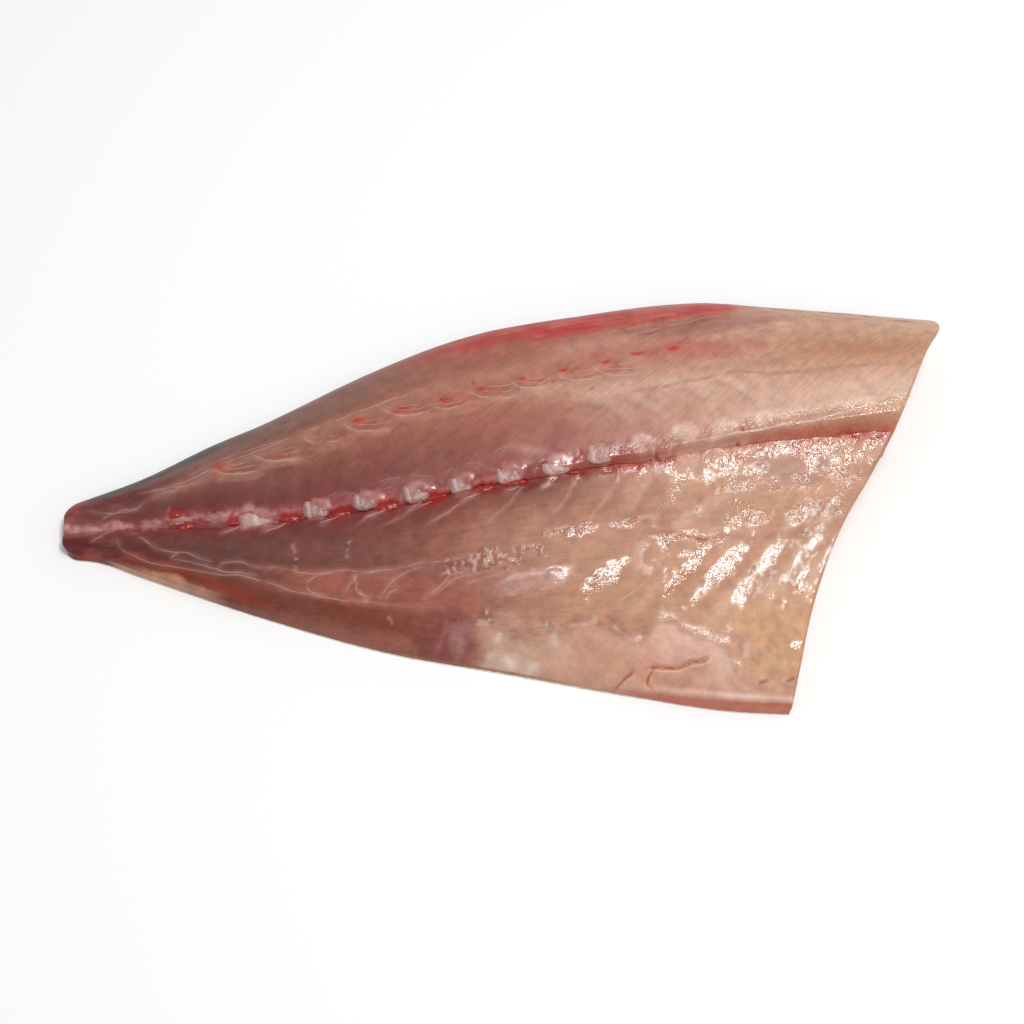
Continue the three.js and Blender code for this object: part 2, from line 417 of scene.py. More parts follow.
def new_material(name):
    material = bpy.data.materials.new(name)
    material.use_nodes = True
    tree = material.node_tree
    tree.nodes.clear()
    surface = node(tree, "ShaderNodeBsdfPrincipled")
    node(tree, "ShaderNodeOutputMaterial", {"Surface": surface.outputs["BSDF"]})
    return material, tree, surface


def flesh_material():
    """Raw fish flesh: painted zones, with fibres, marbling and wet beads added at a finer scale."""
    material, tree, surface = new_material("raw yellowtail flesh")
    place = object_place(tree)
    fibre = attribute(tree, "fibre", "Vector")
    fibres = speckle(tree, stretched(tree, fibre, (0.08, 1.5, 1)), 1.0, 3.0)
    strands = speckle(tree, stretched(tree, fibre, (0.04, 0.42, 1)), 1.0, 4.0)
    mottle = speckle(tree, place, 150.0, 5.0, 0.68)
    grain = speckle(tree, place, 1300.0, 3.0, 0.7)
    beads = speckle(tree, place, 680.0, 2.0, 0.5, 0.8)
    combed = attribute(tree, "combed")
    shade = 1.0
    for pattern, contrast in ((fibres, 0.6), (strands, 0.5)):
        shade = swing(tree, pattern, maths(tree, "MULTIPLY", combed, contrast), shade)
    for pattern, contrast in ((mottle, 0.75), (grain, 0.35)):
        shade = swing(tree, pattern, contrast, shade)
    dullness = maths(tree, "MULTIPLY_ADD", attribute(tree, "gloss"), -0.46, 0.54)
    relief_mm = maths(tree, "MULTIPLY", maths(tree, "MULTIPLY", beads, attribute(tree, "pebble")), 0.32)
    relief_mm = maths(tree, "MULTIPLY_ADD", maths(tree, "MULTIPLY", fibres, combed), 0.035, relief_mm)
    relief_mm = maths(tree, "MULTIPLY_ADD", grain, 0.02, relief_mm)
    fill(surface, {"Base Color": mixed(tree, "MULTIPLY", 1.0, attribute(tree, "tint", "Color"), shade),
                   "Roughness": swing(tree, grain, 0.06, dullness),
                   "Normal": relief(tree, relief_mm, 1.0, 0.001),
                   "Subsurface Weight": 0.12, "Subsurface Scale": 0.0012,
                   "Subsurface Radius": (1.0, 0.4, 0.25), "IOR": 1.48})
    return material


def cut_flesh_material():
    """The knife's cut through the muscle, with the pale rings of its septa round the loin's core."""
    material, tree, surface = new_material("cut yellowtail flesh")
    place = object_place(tree)
    round_core = stretched(tree, place, (0, 1, 1.6), (0, -0.055, -0.02))
    wave = {"Vector": round_core, "Scale": 30.0, "Distortion": 7.0, "Detail": 3.0, "Detail Scale": 1.2}
    rings = node(tree, "ShaderNodeTexWave", wave, wave_type="RINGS", rings_direction="SPHERICAL")
    septa = maths(tree, "MULTIPLY", ramped(tree, rings.outputs["Fac"], 0.9, 1.0), 0.22)
    mottle = speckle(tree, place, 260.0, 5.0, 0.65)
    shade = maths(tree, "MULTIPLY_ADD", mottle, 0.5, 0.78)
    muscle = mixed(tree, "MULTIPLY", 1.0, attribute(tree, "tint", "Color"), shade)
    fill(surface, {"Base Color": mixed(tree, "MIX", septa, muscle, (0.74, 0.58, 0.48, 1)),
                   "Normal": relief(tree, mottle, 0.7, 0.0004), "Roughness": 0.35,
                   "Subsurface Weight": 0.12, "Subsurface Scale": 0.0012,
                   "Subsurface Radius": (1.0, 0.4, 0.25), "IOR": 1.42})
    return material


# What the wet surface mirrors of the sky, in linear light: the flesh under it is darker by this.
SKY_SHEEN = 0.02

# The pale seam along the side of the loin, where the red muscle begins, and the tips of its folds.
BAND_LINE = [(-169, 1), (-155, 5), (-137, 13), (-116, 22), (-93, 31), (-74, 38), (-57, 44),
             (-30, 53), (-3, 58), (25, 66), (60, 71), (119, 74), (186, 65)]
FOLD_TIPS = [(-135, 13.5), (-116, 20), (-93, 27), (-74, 33), (-56.5, 40), (-35.5, 42),
             (-16.5, 47), (3, 51), (24, 54), (41, 57)]
# The pale arcs of a fold, from its tip, and how strong each is.
FOLD_ARCS = [
    ([(-2, 1.6), (1, -1), (6, -3.4), (12, -4), (18, -3.4), (25, -1.6)], 1.0),
    ([(2, 1), (8, -0.6), (15, -0.8), (21, 0.8)], 0.5),
    ([(5, 2.2), (11, 1.4), (18, 2.4)], 0.35),
]
# Cut blood vessels between the folds.
RED_SPOTS = [(-134, 14.5), (-70, 35.4), (-50, 40), (-29, 43.5), (-12.5, 48.6), (7, 52.8),
             (26.5, 56.8), (45, 60.4), (61, 64.8), (77, 67)]
# The seam between the upper and lower half of the loin, and the arcs of its flakes.
MIDDLE_SEPTUM = [(43, 39), (62, 43.2), (77, 45.8), (90, 48), (105, 51.3), (120, 50.5), (132, 50.8),
                 (148, 53), (163, 54.1), (185, 53.9)]
SEPTUM_ARCS = [
    [(62, 47), (70, 49), (77, 47), (86, 44), (92, 38), (96.5, 28), (99, 20)],
    [(44, 43), (56, 41), (64, 37), (71, 32), (77, 25)],
    [(28, 40), (43, 38), (51, 34), (57, 27)],
    [(-5, 18), (11, 15.2), (25, 12), (32, 7.4)],
    [(88, 52), (103, 47), (113, 39), (119, 30)],
]
# Milky wisps of sinew beside the stumps, and the sinews that fan out from the tail stub.
LOIN_WISPS = [
    [(-83, -4.7), (-77, -1.6), (-69, -2.8), (-65, -6)],
    [(-64, 1.4), (-53, 4.8), (-39, 5.3), (-27, 4)],
    [(-32, 3.7), (-23, 9), (-14, 11.1), (-7, 8)],
    [(-15, 10.7), (-5, 7.1), (1, 3)],
    [(-62, -2), (-52, 0.6), (-44, 1.5), (-38, 3)],
    [(-8, 14), (-1, 17.5), (8, 19), (18, 15)],
]
TAIL_SINEWS = [
    [(-173, 1), (-164, 3), (-154, 5), (-149, 5), (-135, 9)],
    [(-164, -1), (-157, 2), (-150, 3)],
    [(-152, 9), (-144, 12.5), (-135, 17), (-128, 20), (-113, 25), (-100, 29)],
    [(-187, -13), (-184, -9), (-178, -7), (-171, -6), (-163, -4)],
    [(-194, -6), (-182, -7.5), (-172, -7), (-166, -3), (-157, 0)],
]
# The bloody line below the stumps, and the gristle that joins them from the tail stub forwards.
RED_LINE = [(28, 5.5), (43, 8), (63, 10.5), (80, 14), (98, 17.5), (117, 20), (137, 21.5),
            (155, 24.5), (172, 24.5), (182, 26)]
GRISTLE_CORD = [(-206, -14.6), (-192, -14.2), (-184, -13.9), (-176, -13.8), (-166, -13.6),
                (-156, -12.4), (-148, -11.4), (-138, -10.8), (-130, -10.4), (-114, -11), (-98, -9.5),
                (-86, -8.5), (-64, -6), (-41, -3.3), (-21, 0), (1, 4), (23, 8), (43, 12), (58, 15)]
# The white fascia along the crest of the step, which catches the light; it is painted paler still, as a
# painted highlight.
CREST_LINE = [(84, 17.8), (94.5, 20), (105, 22), (114, 23.4), (122.5, 25.4), (129, 26.8), (137, 27.4),
              (144, 29), (154, 32.2), (164, 35), (174, 36.6), (186, 39.5)]
# Vertebra stumps: x, y, half length, half width, creaminess, place of the plate (-1 to 1 along).
STUMPS = [(-181, -13.6, 4.4, 2.2, 0.5, 0.2), (-163, -13, 5.4, 2.4, 0.2, 0.3),
          (-150, -11.6, 3.6, 1.8, 0.2, 0.3), (-134, -10.6, 4.6, 1.9, 0.2, 0.2),
          (-114, -10.8, 8.6, 6.0, 1.0, 0.08), (-86.5, -7.8, 6.6, 5.0, 0.35, 0.75),
          (-64, -4.8, 6.4, 4.8, 0.3, 0.8), (-41, -1.6, 6.6, 5.4, 0.35, 0.8),
          (-20.5, 1.6, 5.6, 5.2, 0.4, 0.6), (1.5, 6.0, 6.2, 5.2, 0.35, 0.85),
          (23, 10, 7.0, 5.4, 0.4, 0.85), (43.5, 14.6, 6.2, 5.0, 0.35, 0.85),
          (63, 18.4, 5.6, 4.6, 0.3, 0.6), (81.5, 22.2, 5.4, 4.4, 0.3, 0.5),
          (100, 26, 5.0, 4.2, 0.3, 0.4), (119, 30, 4.6, 3.8, 0.3, 0.4)]
# How many of them stand up out of the flesh; the others are milky places in it.
STUMPS_STANDING = 12
# Blood between the stumps: x, y, half length, half width, turn in degrees.
CLOTS = [(-151, -8.6, 4.8, 1.9, -8), (-146, -13.8, 5.6, 1.9, 18), (-122.5, -12.4, 6.4, 2.0, 10),
         (-98, -12.0, 6.2, 2.0, 7), (-75, -10.6, 6.6, 1.9, 14), (-53.5, -7.6, 7.0, 2.3, 14),
         (-31, -4.4, 6.4, 2.2, 15), (-9.5, -1.2, 6.0, 2.0, 12), (5, 1.4, 5.0, 1.6, 8),
         (32, 6.2, 4.0, 1.1, 6)]
# Wet white sinews that run down from the stumps over the edge of the hollow.
WET_SINEWS = [[(34, 9), (32.5, 5), (31, -1)], [(54, 11), (52, 5), (51, -3)],
              [(66, 20), (68, 13), (70, 5)], [(75, 21), (75.5, 16), (73, 11)],
              [(96, 23.5), (93, 17.5), (88, 11)], [(22, 7), (20, 2), (15, -3)]]
# Nicks of the knife beside the stumps, and blood that is drying along the loin's upper rim.
LOIN_NICKS = [[(33, 17), (35, 13.5)], [(68, 14.5), (70, 12)], [(107, 26.5), (109, 22)],
              [(105, 19.6), (108, 18.6)]]
RIM_BLOOD = [((131, 94), (9, 2)), ((158, 91), (9, 2.2)), ((172, 88), (6, 2)), ((186, 84), (9, 1))]
LOIN_SPECKS = [(-15, 52), (6, 47), (40, 46)]


def nicked(x, y, height, tint, nicks, colour, strength, reach, depth):
    """Short nicks of the knife, sunk into the flesh and painted in the colour given."""
    for points in nicks:
        nick = stroke(x, y, points, reach, 0.3)
        tint = paint(tint, colour, strength * nick)
        height = height - depth * nick
    return height, tint


def speckled(x, y, tint, specks, colour, size):
    """Small dark specks, as scattered scales and pigment leave them."""
    for speck_x, speck_y in specks:
        tint = paint(tint, colour, 0.8 * bump(np.hypot(x - speck_x, y - speck_y), size))
    return tint


def fold_arc(i, tip_x, tip_y, arc):
    """One of the pale arcs of the fold at a tip, each fold a little larger or smaller."""
    size = 1 + 0.18 * np.sin(2.3 * i)
    return [(tip_x + size * dx, tip_y + size * dy + 0.03 * dx) for dx, dy in arc]


def dress_spine(x, y, height, tint):
    """The bloody crease and the gristle along the backbone, on both sides of it."""
    wx, wy = x + 0.7 * cloud(x, y, 5, 16), y + 0.9 * cloud(x, y, 6, 17)
    patchy = cloud(x, y, 7, 19)
    streaky = noise(x, y + x / 6, 2.6, 20)
    # Streaks that run along the tail stub, and raw flesh beside the backbone.
    lengthwise = cloud(x / 5, y, 2.0, 23) * fall(x, -184, -155)
    tint = paint(tint, (162, 108, 106), 0.26 * rise(lengthwise, -0.1, 0.9))
    tint = paint(tint, (84, 34, 36), 0.3 * rise(-lengthwise, -0.1, 0.9))
    raw = bump(y - spine_line(x) + 2.5, 7) * fall(x, 40, 80)
    tint = paint(tint, (126, 58, 58), raw * rise(x, -200, -150) * (0.6 + 0.25 * patchy))
    # The bloody crease below the stumps.
    bloody = np.interp(x, [28, 50, 66, 80, 100, 125, 140, 150, 160, 174, 186],
                       [0.3, 0.6, 0.9, 0.4, 0.4, 0.35, 0.65, 0.45, 0.85, 0.95, 0.6])
    red = stroke(wx, wy, RED_LINE, 3.4, 0.1) * bloody * (0.8 + 0.5 * patchy)
    tint = paint(tint, (176, 74, 64), red)
    deep = stroke(wx, wy, RED_LINE, 1.5, 0.1) * bloody
    tint = paint(tint, (158, 24, 26), deep * rise(patchy + 0.5 * streaky, -0.3, 0.5) * 0.85)
    # The cord of gristle that joins the stumps, with a white core and thick ragged places.
    joined = fall(x, 35, 70)
    band = stroke(wx, wy, GRISTLE_CORD, 3.0, 0) * joined
    tint = paint(tint, (164, 84, 80), band * (0.62 + 0.3 * patchy + 0.15 * streaky))
    stub = stroke(wx, wy, GRISTLE_CORD[:4], 2.2, 0) * fall(x, -190, -172)
    tint = paint(tint, (192, 146, 138), stub * (0.6 + 0.4 * streaky))
    core = stroke(wx, wy, GRISTLE_CORD, 1.5, 0) * joined
    core = core * rise(patchy + 0.8 * streaky, -0.2, 0.7)
    tint = paint(tint, (198, 146, 140), (0.65 - 0.3 * rise(x, -130, -105)) * core)
    thick = stroke(wx, wy + patchy, GRISTLE_CORD[3:10], 2.6, 0.1)
    thick = thick * rise(patchy - 0.6 * streaky, -0.2, 0.5)
    tint = paint(tint, (198, 152, 148), 0.65 * thick)
    height = height + 0.4 * band * (1 + 0.5 * patchy) + 0.3 * core + 0.4 * thick - 0.25 * deep
    for points in WET_SINEWS:
        wet = stroke(x + 1.4 * cloud(x, y, 3.5, 21), y, points, 1.0, 0.3)
        wet = wet * rise(noise(x, y, 2.2, 22), -0.6, 0.3)
        tint = paint(tint, (222, 192, 182), 0.45 * wet)
        height = height + 0.35 * wet
    for i, (stump_x, stump_y, length, width, cream, _) in enumerate(STUMPS):
        sunk = rise(stump_x, 35, 60)
        halo = blotch(x, y, (stump_x, stump_y), (length * 1.15, width * 1.1), 9, 0.5, i)
        colour = (178 + 44 * sunk, 126 + 66 * sunk, 120 + 56 * sunk)
        tint = paint(tint, colour, halo * (0.55 + 0.25 * cream + 0.3 * streaky) * (1 - 0.2 * sunk))
        height = height + 0.5 * halo * (1 - sunk)
    for i, (clot_x, clot_y, length, width, turn) in enumerate(CLOTS):
        stain = blotch(x, y, (clot_x, clot_y), (length * 1.2, width * 1.5), turn, 0.5, i + 60)
        tint = paint(tint, (150, 32, 28), 0.85 * stain)
        height = height - 0.35 * stain
    return height, tint


def wandering(x, y):
    """How far the listed lines wander in x and y at a place, in millimetres."""
    return 0.8 * cloud(x, y, 9, 11), 0.6 * cloud(x, y, 7, 14)


def dress_loin(x, y):
    """Relief in millimetres, colour, gloss, wet beads and fibres of the loin's upper face."""
    place = (y - spine_line(x)) / (back_edge(x) - spine_line(x))
    stray_x, stray_y = wandering(x, y)
    wx, wy = x + stray_x, y + stray_y
    patchy = cloud(x, y, 13, 61)
    broad = cloud(x, y, 34, 63)
    tint = colour_along(x + 9 * cloud(x, y, 26, 31), [
        (-204, (124, 66, 64)), (-140, (112, 66, 61)), (-100, (130, 78, 68)), (-60, (148, 88, 76)),
        (-20, (160, 98, 83)), (20, (174, 114, 96)), (60, (186, 138, 118)),
        (100, (192, 144, 122)), (150, (196, 152, 127)), (206, (202, 162, 134))])
    # Zones along the loin, from its middle outwards, then those beside the backbone.
    pale = bump(place - 0.52, 0.2) * between(x, (-175, -120), (0, 50))
    tint = paint(tint, (178, 126, 106), 0.32 * pale * (1 + 0.5 * patchy))
    cream = bump(y - 46, 7) * rise(x, -5, 40) * (1 - 0.7 * rise(x, 100, 130))
    tint = paint(tint, (222, 192, 170), 0.42 * cream * (1 + 0.5 * patchy))
    umber = bump(y - 64, 7) * rise(x, 115, 155)
    tint = paint(tint, (180, 124, 96), 0.7 * umber * (1 + 0.3 * patchy))
    milky = bump(place - 0.74, 0.07) * between(x, (10, 45), (120, 150))
    tint = paint(tint, (216, 184, 166), 0.5 * milky * (1 + 0.6 * patchy))
    rosy = bump(place - 0.68, 0.16) * between(x, (5, 50), (75, 125))
    tint = paint(tint, (176, 98, 84), rosy * (0.45 + 0.35 * patchy))
    by_spine = fall(place, 0, 0.48) * fall(x, 0, 62)
    tint = paint(tint, (108, 44, 46), by_spine * (0.72 + 0.2 * patchy + 0.2 * broad))
    blush = fall(place, 0.02, 0.3) * between(x, (-40, 10), (55, 95))
    tint = paint(tint, (166, 92, 82), blush * (0.5 + 0.3 * patchy))
    tint = paint(tint, (92, 50, 50), 0.5 * between(x, (-200, -180), (-170, -130)))
    for points in TAIL_SINEWS:
        tint = paint(tint, (166, 114, 108), 0.22 * stroke(wx, wy, points, 1.4, 0.2))
    # The dark red muscle outside the pale seam, grey and slaty at the tail.
    seam = through(BAND_LINE)(x) + 1.5
    outer = rise(y + 1.2 * cloud(x, y, 9, 66) - seam, 0, 7)
    grey = outer * fall(x, -70, 10)
    tint = paint(tint, (146, 110, 98), 0.7 * grey)
    slate = rise(place, 0.55, 0.92) * fall(x, -120, -60)
    tint = paint(tint, (124, 96, 88), 0.65 * slate * (1 + 0.3 * patchy))
    dark_edge = rise(y - back_edge(x) + 1.0 * cloud(x, y, 9, 64), -7.5, -4)
    dark_edge = dark_edge * between(x, (-194, -184), (-145, -115))
    tint = paint(tint, (88, 84, 80), 0.9 * dark_edge)
    tint = paint(tint, (164, 60, 52), 0.6 * blotch(x, y, (-202, -2), (6, 3), 0, 0.4, 65))
    brown = outer * between(x, (-70, 0), (95, 130))
    tint = paint(tint, (164, 102, 88), 0.55 * brown * (1 + 0.3 * patchy))
    rim = rise(place, 0.93, 1) * fall(x, -25, 0)
    tint = paint(tint, (170, 116, 92), 0.5 * rim * rise(x, -135, -90))
    # The crimson rim of the back, streaked along its length.
    flowing = noise(x / 6, y - back_edge(x), 1.3, 7)
    crimson_edge = 0.83 - 0.03 * rise(x, -20, 30) + 0.13 * rise(x, 90, 126)
    raggedly = place + 0.03 * cloud(x, y, 9, 5) + 0.012 * flowing
    crimson = rise(raggedly, crimson_edge - 0.01, crimson_edge + 0.07)
    crimson = crimson * between(x, (-60, 0), (104, 130))
    tint = paint(tint, (182, 68, 64), 0.88 * crimson * (1 + 0.25 * patchy))
    tint = paint(tint, (206, 118, 106), 0.45 * crimson * rise(flowing, 0.1, 0.9))
    tint = paint(tint, (170, 48, 48), 0.4 * crimson * rise(-flowing, 0.2, 0.9))
    streak = bump(raggedly - crimson_edge - 0.03, 0.016) * between(x, (-30, 30), (96, 118))
    tint = paint(tint, (178, 54, 42), 0.6 * streak * rise(noise(x, y, 11, 6), -0.5, 0.4))
    for spot, size in RIM_BLOOD:
        tint = paint(tint, (186, 70, 58), 0.6 * blotch(x, y, spot, size, -6, 0.6, 27))
    tint = paint(tint, (180, 92, 84), 0.42 * blotch(x, y, (92, 66), (28, 6), 3, 0.5, 28))
    # Soft lumps all over, and fibres combed bare near the rim.
    height = 0.5 * cloud(x, y, 24, 1) + 0.12 * cloud(x, y, 7, 7)
    combed = 1.2 * noise(x / 9, y - 0.2 * x + 1.6 * cloud(x, y, 14, 33), 1.5, 36)
    comb = blotch(x, y, (92, 80), (40, 6.5), 7, 0.25, 34)
    tint = paint(tint, (146, 90, 78), 0.5 * comb)
    tint = paint(tint, (112, 62, 56), 0.5 * comb * rise(combed, 0, 0.9))
    tint = paint(tint, (196, 160, 144), 0.3 * comb * rise(-combed, 0.2, 1))
    height = height + 0.1 * comb * combed
    # The seam with its folds, the cut vessels between them, and the flakes of the middle.
    tint = paint(tint, (186, 140, 120), 0.4 * stroke(wx, wy + 1.8, BAND_LINE, 4, 0.08) * (x < 40))
    for i, (tip_x, tip_y) in enumerate(FOLD_TIPS):
        for arc, strength in FOLD_ARCS[:2]:
            points = fold_arc(i, tip_x, tip_y, arc)
            tint = paint(tint, (204, 160, 142), 0.34 * strength * stroke(wx, wy, points, 1.2, 0.25))
        hollow = blotch(x, y, (tip_x + 10, tip_y - 1), (11, 2.2), 8, 0.4, i)
        tint = paint(tint, (156, 82, 66), 0.4 * hollow)
        below = blotch(x, y, (tip_x + 12, tip_y - 5.5), (13, 2.4), 5, 0.4, i + 20)
        tint = paint(tint, (190, 142, 122), 0.28 * below)
        height = height - 0.15 * hollow
    for i, (spot_x, spot_y) in enumerate(RED_SPOTS):
        turn = 4 - 9 * np.sin(3.1 * i)
        glow = blotch(x, y, (spot_x + 4.5, spot_y - 0.6), (6.5, 1.9), turn, 0.6, i + 40)
        tint = paint(tint, (182, 92, 74), 0.36 * glow)
        core = blotch(x, y, (spot_x + 1, spot_y), (3.2 + 0.8 * np.sin(i), 1.3), turn, 0.6, i)
        tint = paint(tint, (186, 56, 38), 0.8 * core)
        height = height - 0.15 * core
    for points in LOIN_WISPS:
        veil = stroke(wx, wy + 1.6, points, 2.4, 0.35)
        tint = paint(tint, (170, 112, 108), 0.35 * veil)
    for points in SEPTUM_ARCS:
        shadow = stroke(wx + 1.2, wy + 1.2, points, 1.6, 0.3)
        tint = paint(tint, (160, 104, 88), 0.3 * shadow)
        tint = paint(tint, (212, 182, 164), 0.2 * stroke(wx - 1, wy - 1, points, 1.8, 0.3))
        height = height - 0.12 * shadow
    septum = stroke(wx, wy + 0.9 * cloud(x, y, 4, 37), MIDDLE_SEPTUM, 0.8, 0.12)
    septum = septum * rise(noise(x, y, 5, 38), -0.2, 0.4)
    groove = stroke(wx, wy - 1.5, MIDDLE_SEPTUM, 1.6, 0.12)
    tint = paint(tint, (224, 198, 182), 0.45 * septum)
    tint = paint(tint, (172, 118, 100), 0.35 * groove)
    height = height + 0.3 * septum - 0.3 * groove
    # The step down to the ribs: scored across by the knife, wet, and red along its foot. Its face is
    # painted pale, as painted light against the shade that falls on it.
    down_step = rise(x, 25, 95) * fall(y, spine_line(x) - 7, spine_line(x) - 2.5)
    oblique = 1.2 * noise(x + 0.9 * y + 1.2 * cloud(x, y, 8, 39), y / 5, 1.9, 39)
    tint = paint(tint, (208, 150, 118), 0.75 * down_step)
    # Painted light: the face is lightened further about x 84, where it stands most in shade.
    tint = paint(tint, (255, 222, 204), 0.85 * down_step * bump(x - 84, 36))
    tint = paint(tint, (222, 178, 148), 0.4 * down_step * rise(oblique, 0, 0.8))
    foot = bump(y - rib_root(x), 4) * (0.7 + 0.5 * patchy)
    tint = paint(tint, (196, 104, 84), 0.45 * down_step * foot * rise(x, 40, 110))
    reddened = bump(y - rib_root(x), 4.5) * rise(x + 8 * patchy, 96, 134)
    tint = paint(tint, (178, 88, 74), 0.45 * reddened * (1 + 0.6 * oblique))
    soaked = down_step * rise(noise(x, y, 3.2, 93), 0.1, 0.6)
    tint = paint(tint, (182, 132, 104), 0.5 * blotch(x, y, (160, 27), (18, 4.5), 8, 0.4, 96))
    height = height + 0.08 * down_step * oblique + 0.3 * down_step * cloud(x, y, 5, 92)
    crest = stroke(wx, wy + 0.8 * cloud(x, y, 5, 36), CREST_LINE, 0.8, 0.08)
    crest = crest * rise(noise(x, y, 6, 35), -0.6, 0.1) * (1 - 0.6 * rise(x, 120, 150))
    # The pale line on the crest is the white fascia and a painted highlight of its glint.
    tint = paint(tint, (232, 208, 194), 0.6 * crest)
    height = height + 0.4 * crest
    height, tint = dress_spine(x, y, height, tint)
    height, tint = nicked(x, y, height, tint, LOIN_NICKS, (150, 28, 24), 0.9, 0.55, 0.3)
    tint = speckled(x, y, tint, LOIN_SPECKS, (70, 44, 38), 0.6)
    tint = tint * (1 + 0.09 * cloud(x, y, 3.2, 98))[..., None]
    near_spine = bump(y - spine_line(x) + 2, 6) * rise(x, -160, 40)
    head = rise(x, 10, 80)
    gloss = (0.22 + 0.3 * septum + 0.08 * head + 0.5 * near_spine * (1 - 0.4 * head)
             + 0.45 * crest + 0.5 * soaked)
    pebble = 0.05 + 0.14 * head + 0.5 * near_spine * (0.4 + 0.6 * head) + 0.5 * crest + 0.6 * soaked
    return height, tint, rise(gloss, 0.1, 0.7), pebble, np.ones(x.shape)


LOIN_POINTS = 128
loin_grid = grid_xy(rib_root, back_edge, TAIL_SPINE, 1, LOIN_POINTS)
loin_top = flesh_top(loin_grid, loin_height, dress_loin)


def undercut(x):
    """How far in from the back's edge the flesh stands on the skin."""
    return BACK_UNDERCUT * loin_thickness(x) + BACK_UNDERCUT_LEAST


def loin_foot(x, y, z):
    """Foot of the loin's rim: under its edge at the back, and slanting inwards at the cut."""
    edge = back_edge(x)
    share = np.clip((y - rib_root(x)) / (edge - rib_root(x)), 0, 1)
    foot_y = y - undercut(x) * share**2
    before_cut = shoulder_cut(y) - x
    at_cut = np.where(share > 0.5, fall(before_cut, 0, 25), before_cut < 0.5)
    slid = shoulder_cut(foot_y) - shoulder_cut(y) - CUT_LEAN * z
    return np.stack([x + slid * at_cut, foot_y, np.full(x.shape, SKIN)], -1)


FLESH_MATERIALS = (flesh_material(), cut_flesh_material())


def finish_flesh(piece, tint, looks, fibre):
    """Gives a piece of flesh its materials, with its colour, looks and fibres at its vertices."""
    store(piece, "tint", np.clip(tint - SKY_SHEEN, 0.004, 1))
    for name, values in zip(("gloss", "pebble", "combed"), looks):
        store(piece, name, values)
    store(piece, "fibre", np.stack(fibre, -1))
    for material in FLESH_MATERIALS:
        piece.data.materials.append(material)


# The wall is round under the back edge, and straight over most of the two cuts and at the ribs.
back_roundness = np.linspace(0, 1, LOIN_POINTS) ** 8
loin, depth = closed_mesh("back_loin", loin_top, loin_foot, back_roundness)
x, y, z = vertices_mm(loin)
_, tint, *looks = dress_loin(x, y)
wall = rise(depth, 0.02, 0.2)
tint = paint(tint, (200, 148, 122), 0.75 * wall * rise(x, -120, 60))
tint = paint(tint, (128, 60, 56), 0.7 * wall * fall(x, -180, -60))
lean = y - spine_line(x)
finish_flesh(loin, tint, looks, [y + 0.3 * x, x - lean - 0.009 * lean**2, z])
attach(loin, "root")
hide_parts("fillet")

# ---------------------------------------------------------------------------------------------
# The belly side is the flesh below the backbone: dark flaky muscle behind, then the hollow that
# the ribs were cut from, under a wet membrane, down to the thin fatty flap. It is made as the
# loin is, and meets it in a crease along the root of the ribs.
# ---------------------------------------------------------------------------------------------

belly_foot = through([[-204, -25.7], [-187, -27.7], [-168, -34.7], [-109, -55.2], [-54, -71.2],
                      [0, -81.2], [54, -91.2], [108, -99.2], [206, -100.3]])
lip_height = through([[-204, 5], [-140, 8.5], [-100, 4.5], [0, 4], [30, 5], [60, 8.5],
                      [130, 10], [206, 10]])
# Shares of the loin's thickness from the rib root (0) to the lip (1). The lip's own share is
# added by a second curve, because it changes along the fillet.
belly_profile_tail = through([[0, 0.88], [0.3, 0.92], [0.6, 0.76], [0.85, 0.5], [1, 0]])
belly_profile_head = through([[0, 0.77], [0.12, 0.68], [0.35, 0.64], [0.5, 0.57], [0.75, 0.41],
                              [0.92, 0.32], [1, 0]])
lip_part_tail = through([[0, 0], [0.6, 0], [0.85, 0], [1, 1]])
lip_part_head = through([[0, 0], [0.75, 0], [0.92, 0], [1, 1]])
# How far the cut wall of the flap leans out at its foot.
WALL_LEAN = 1.2
LIP_ROUNDING = 1.3


def belly_lip(x):
    return belly_foot(x) + WALL_LEAN


def belly_place(x, y):
    """0 at the root of the ribs and 1 at the lip."""
    return (rib_root(x) - y) / (rib_root(x) - belly_lip(x))


def belly_height(x, y):
    place = belly_place(x, y)
    lip = lip_height(x) / loin_thickness(x)
    tail = belly_profile_tail(place) + lip * lip_part_tail(place)
    head = belly_profile_head(place) + lip * lip_part_head(place)
    return loin_thickness(x) * lerp(tail, head, rib_cage(x))


# White septa between the flakes of the tail muscle: zigzags, then long drops under a main seam.
BELLY_SEPTA = [
    [(-176, -13), (-170, -17.7), (-163, -22.6), (-155, -26.5), (-150, -27), (-145, -27.5),
     (-137, -31), (-131.5, -32)],
    [(-182, -15.4), (-186, -18.4), (-192, -21.7)],
    [(-178, -18), (-178, -22), (-174, -26), (-163, -30), (-149, -33), (-132, -37), (-121, -38),
     (-111, -41), (-92, -47), (-77, -50), (-56, -53), (-38, -55), (-22, -56)],
    [(-154, -30), (-150, -27)],
    [(-132, -35), (-127, -32), (-121, -32.5), (-111, -35), (-102, -36)],
    [(-111, -39), (-106, -36), (-100, -36.5), (-94, -38), (-84, -39), (-73, -38), (-63, -39),
     (-49, -38), (-38, -36), (-27, -36), (-18, -34), (-9, -33), (6, -32)],
    [(-154, -30), (-145, -31), (-132, -35), (-121, -37), (-111, -39)],
    [(-91, -44), (-89, -42), (-85, -39.6), (-79, -39), (-72, -38)],
    [(-91, -44), (-88, -47), (-80, -49)],
    [(-74, -49.5), (-72, -46), (-69, -42.5), (-63, -40), (-56.5, -39), (-49, -38)],
    [(-68, -45), (-66, -48), (-60, -51)],
    [(-58, -53), (-55, -49), (-51, -44), (-47.5, -41), (-41, -39), (-29, -36.5)],
    [(-54, -52), (-52, -49), (-47, -46)],
    [(-38, -53), (-35, -50), (-29, -46), (-25, -42), (-18, -40), (-7, -37)],
    [(-34, -50), (-28, -47), (-22, -43), (-12, -41), (2, -38)],
    [(-20, -47), (-12, -44), (0, -41), (10, -39)],
]
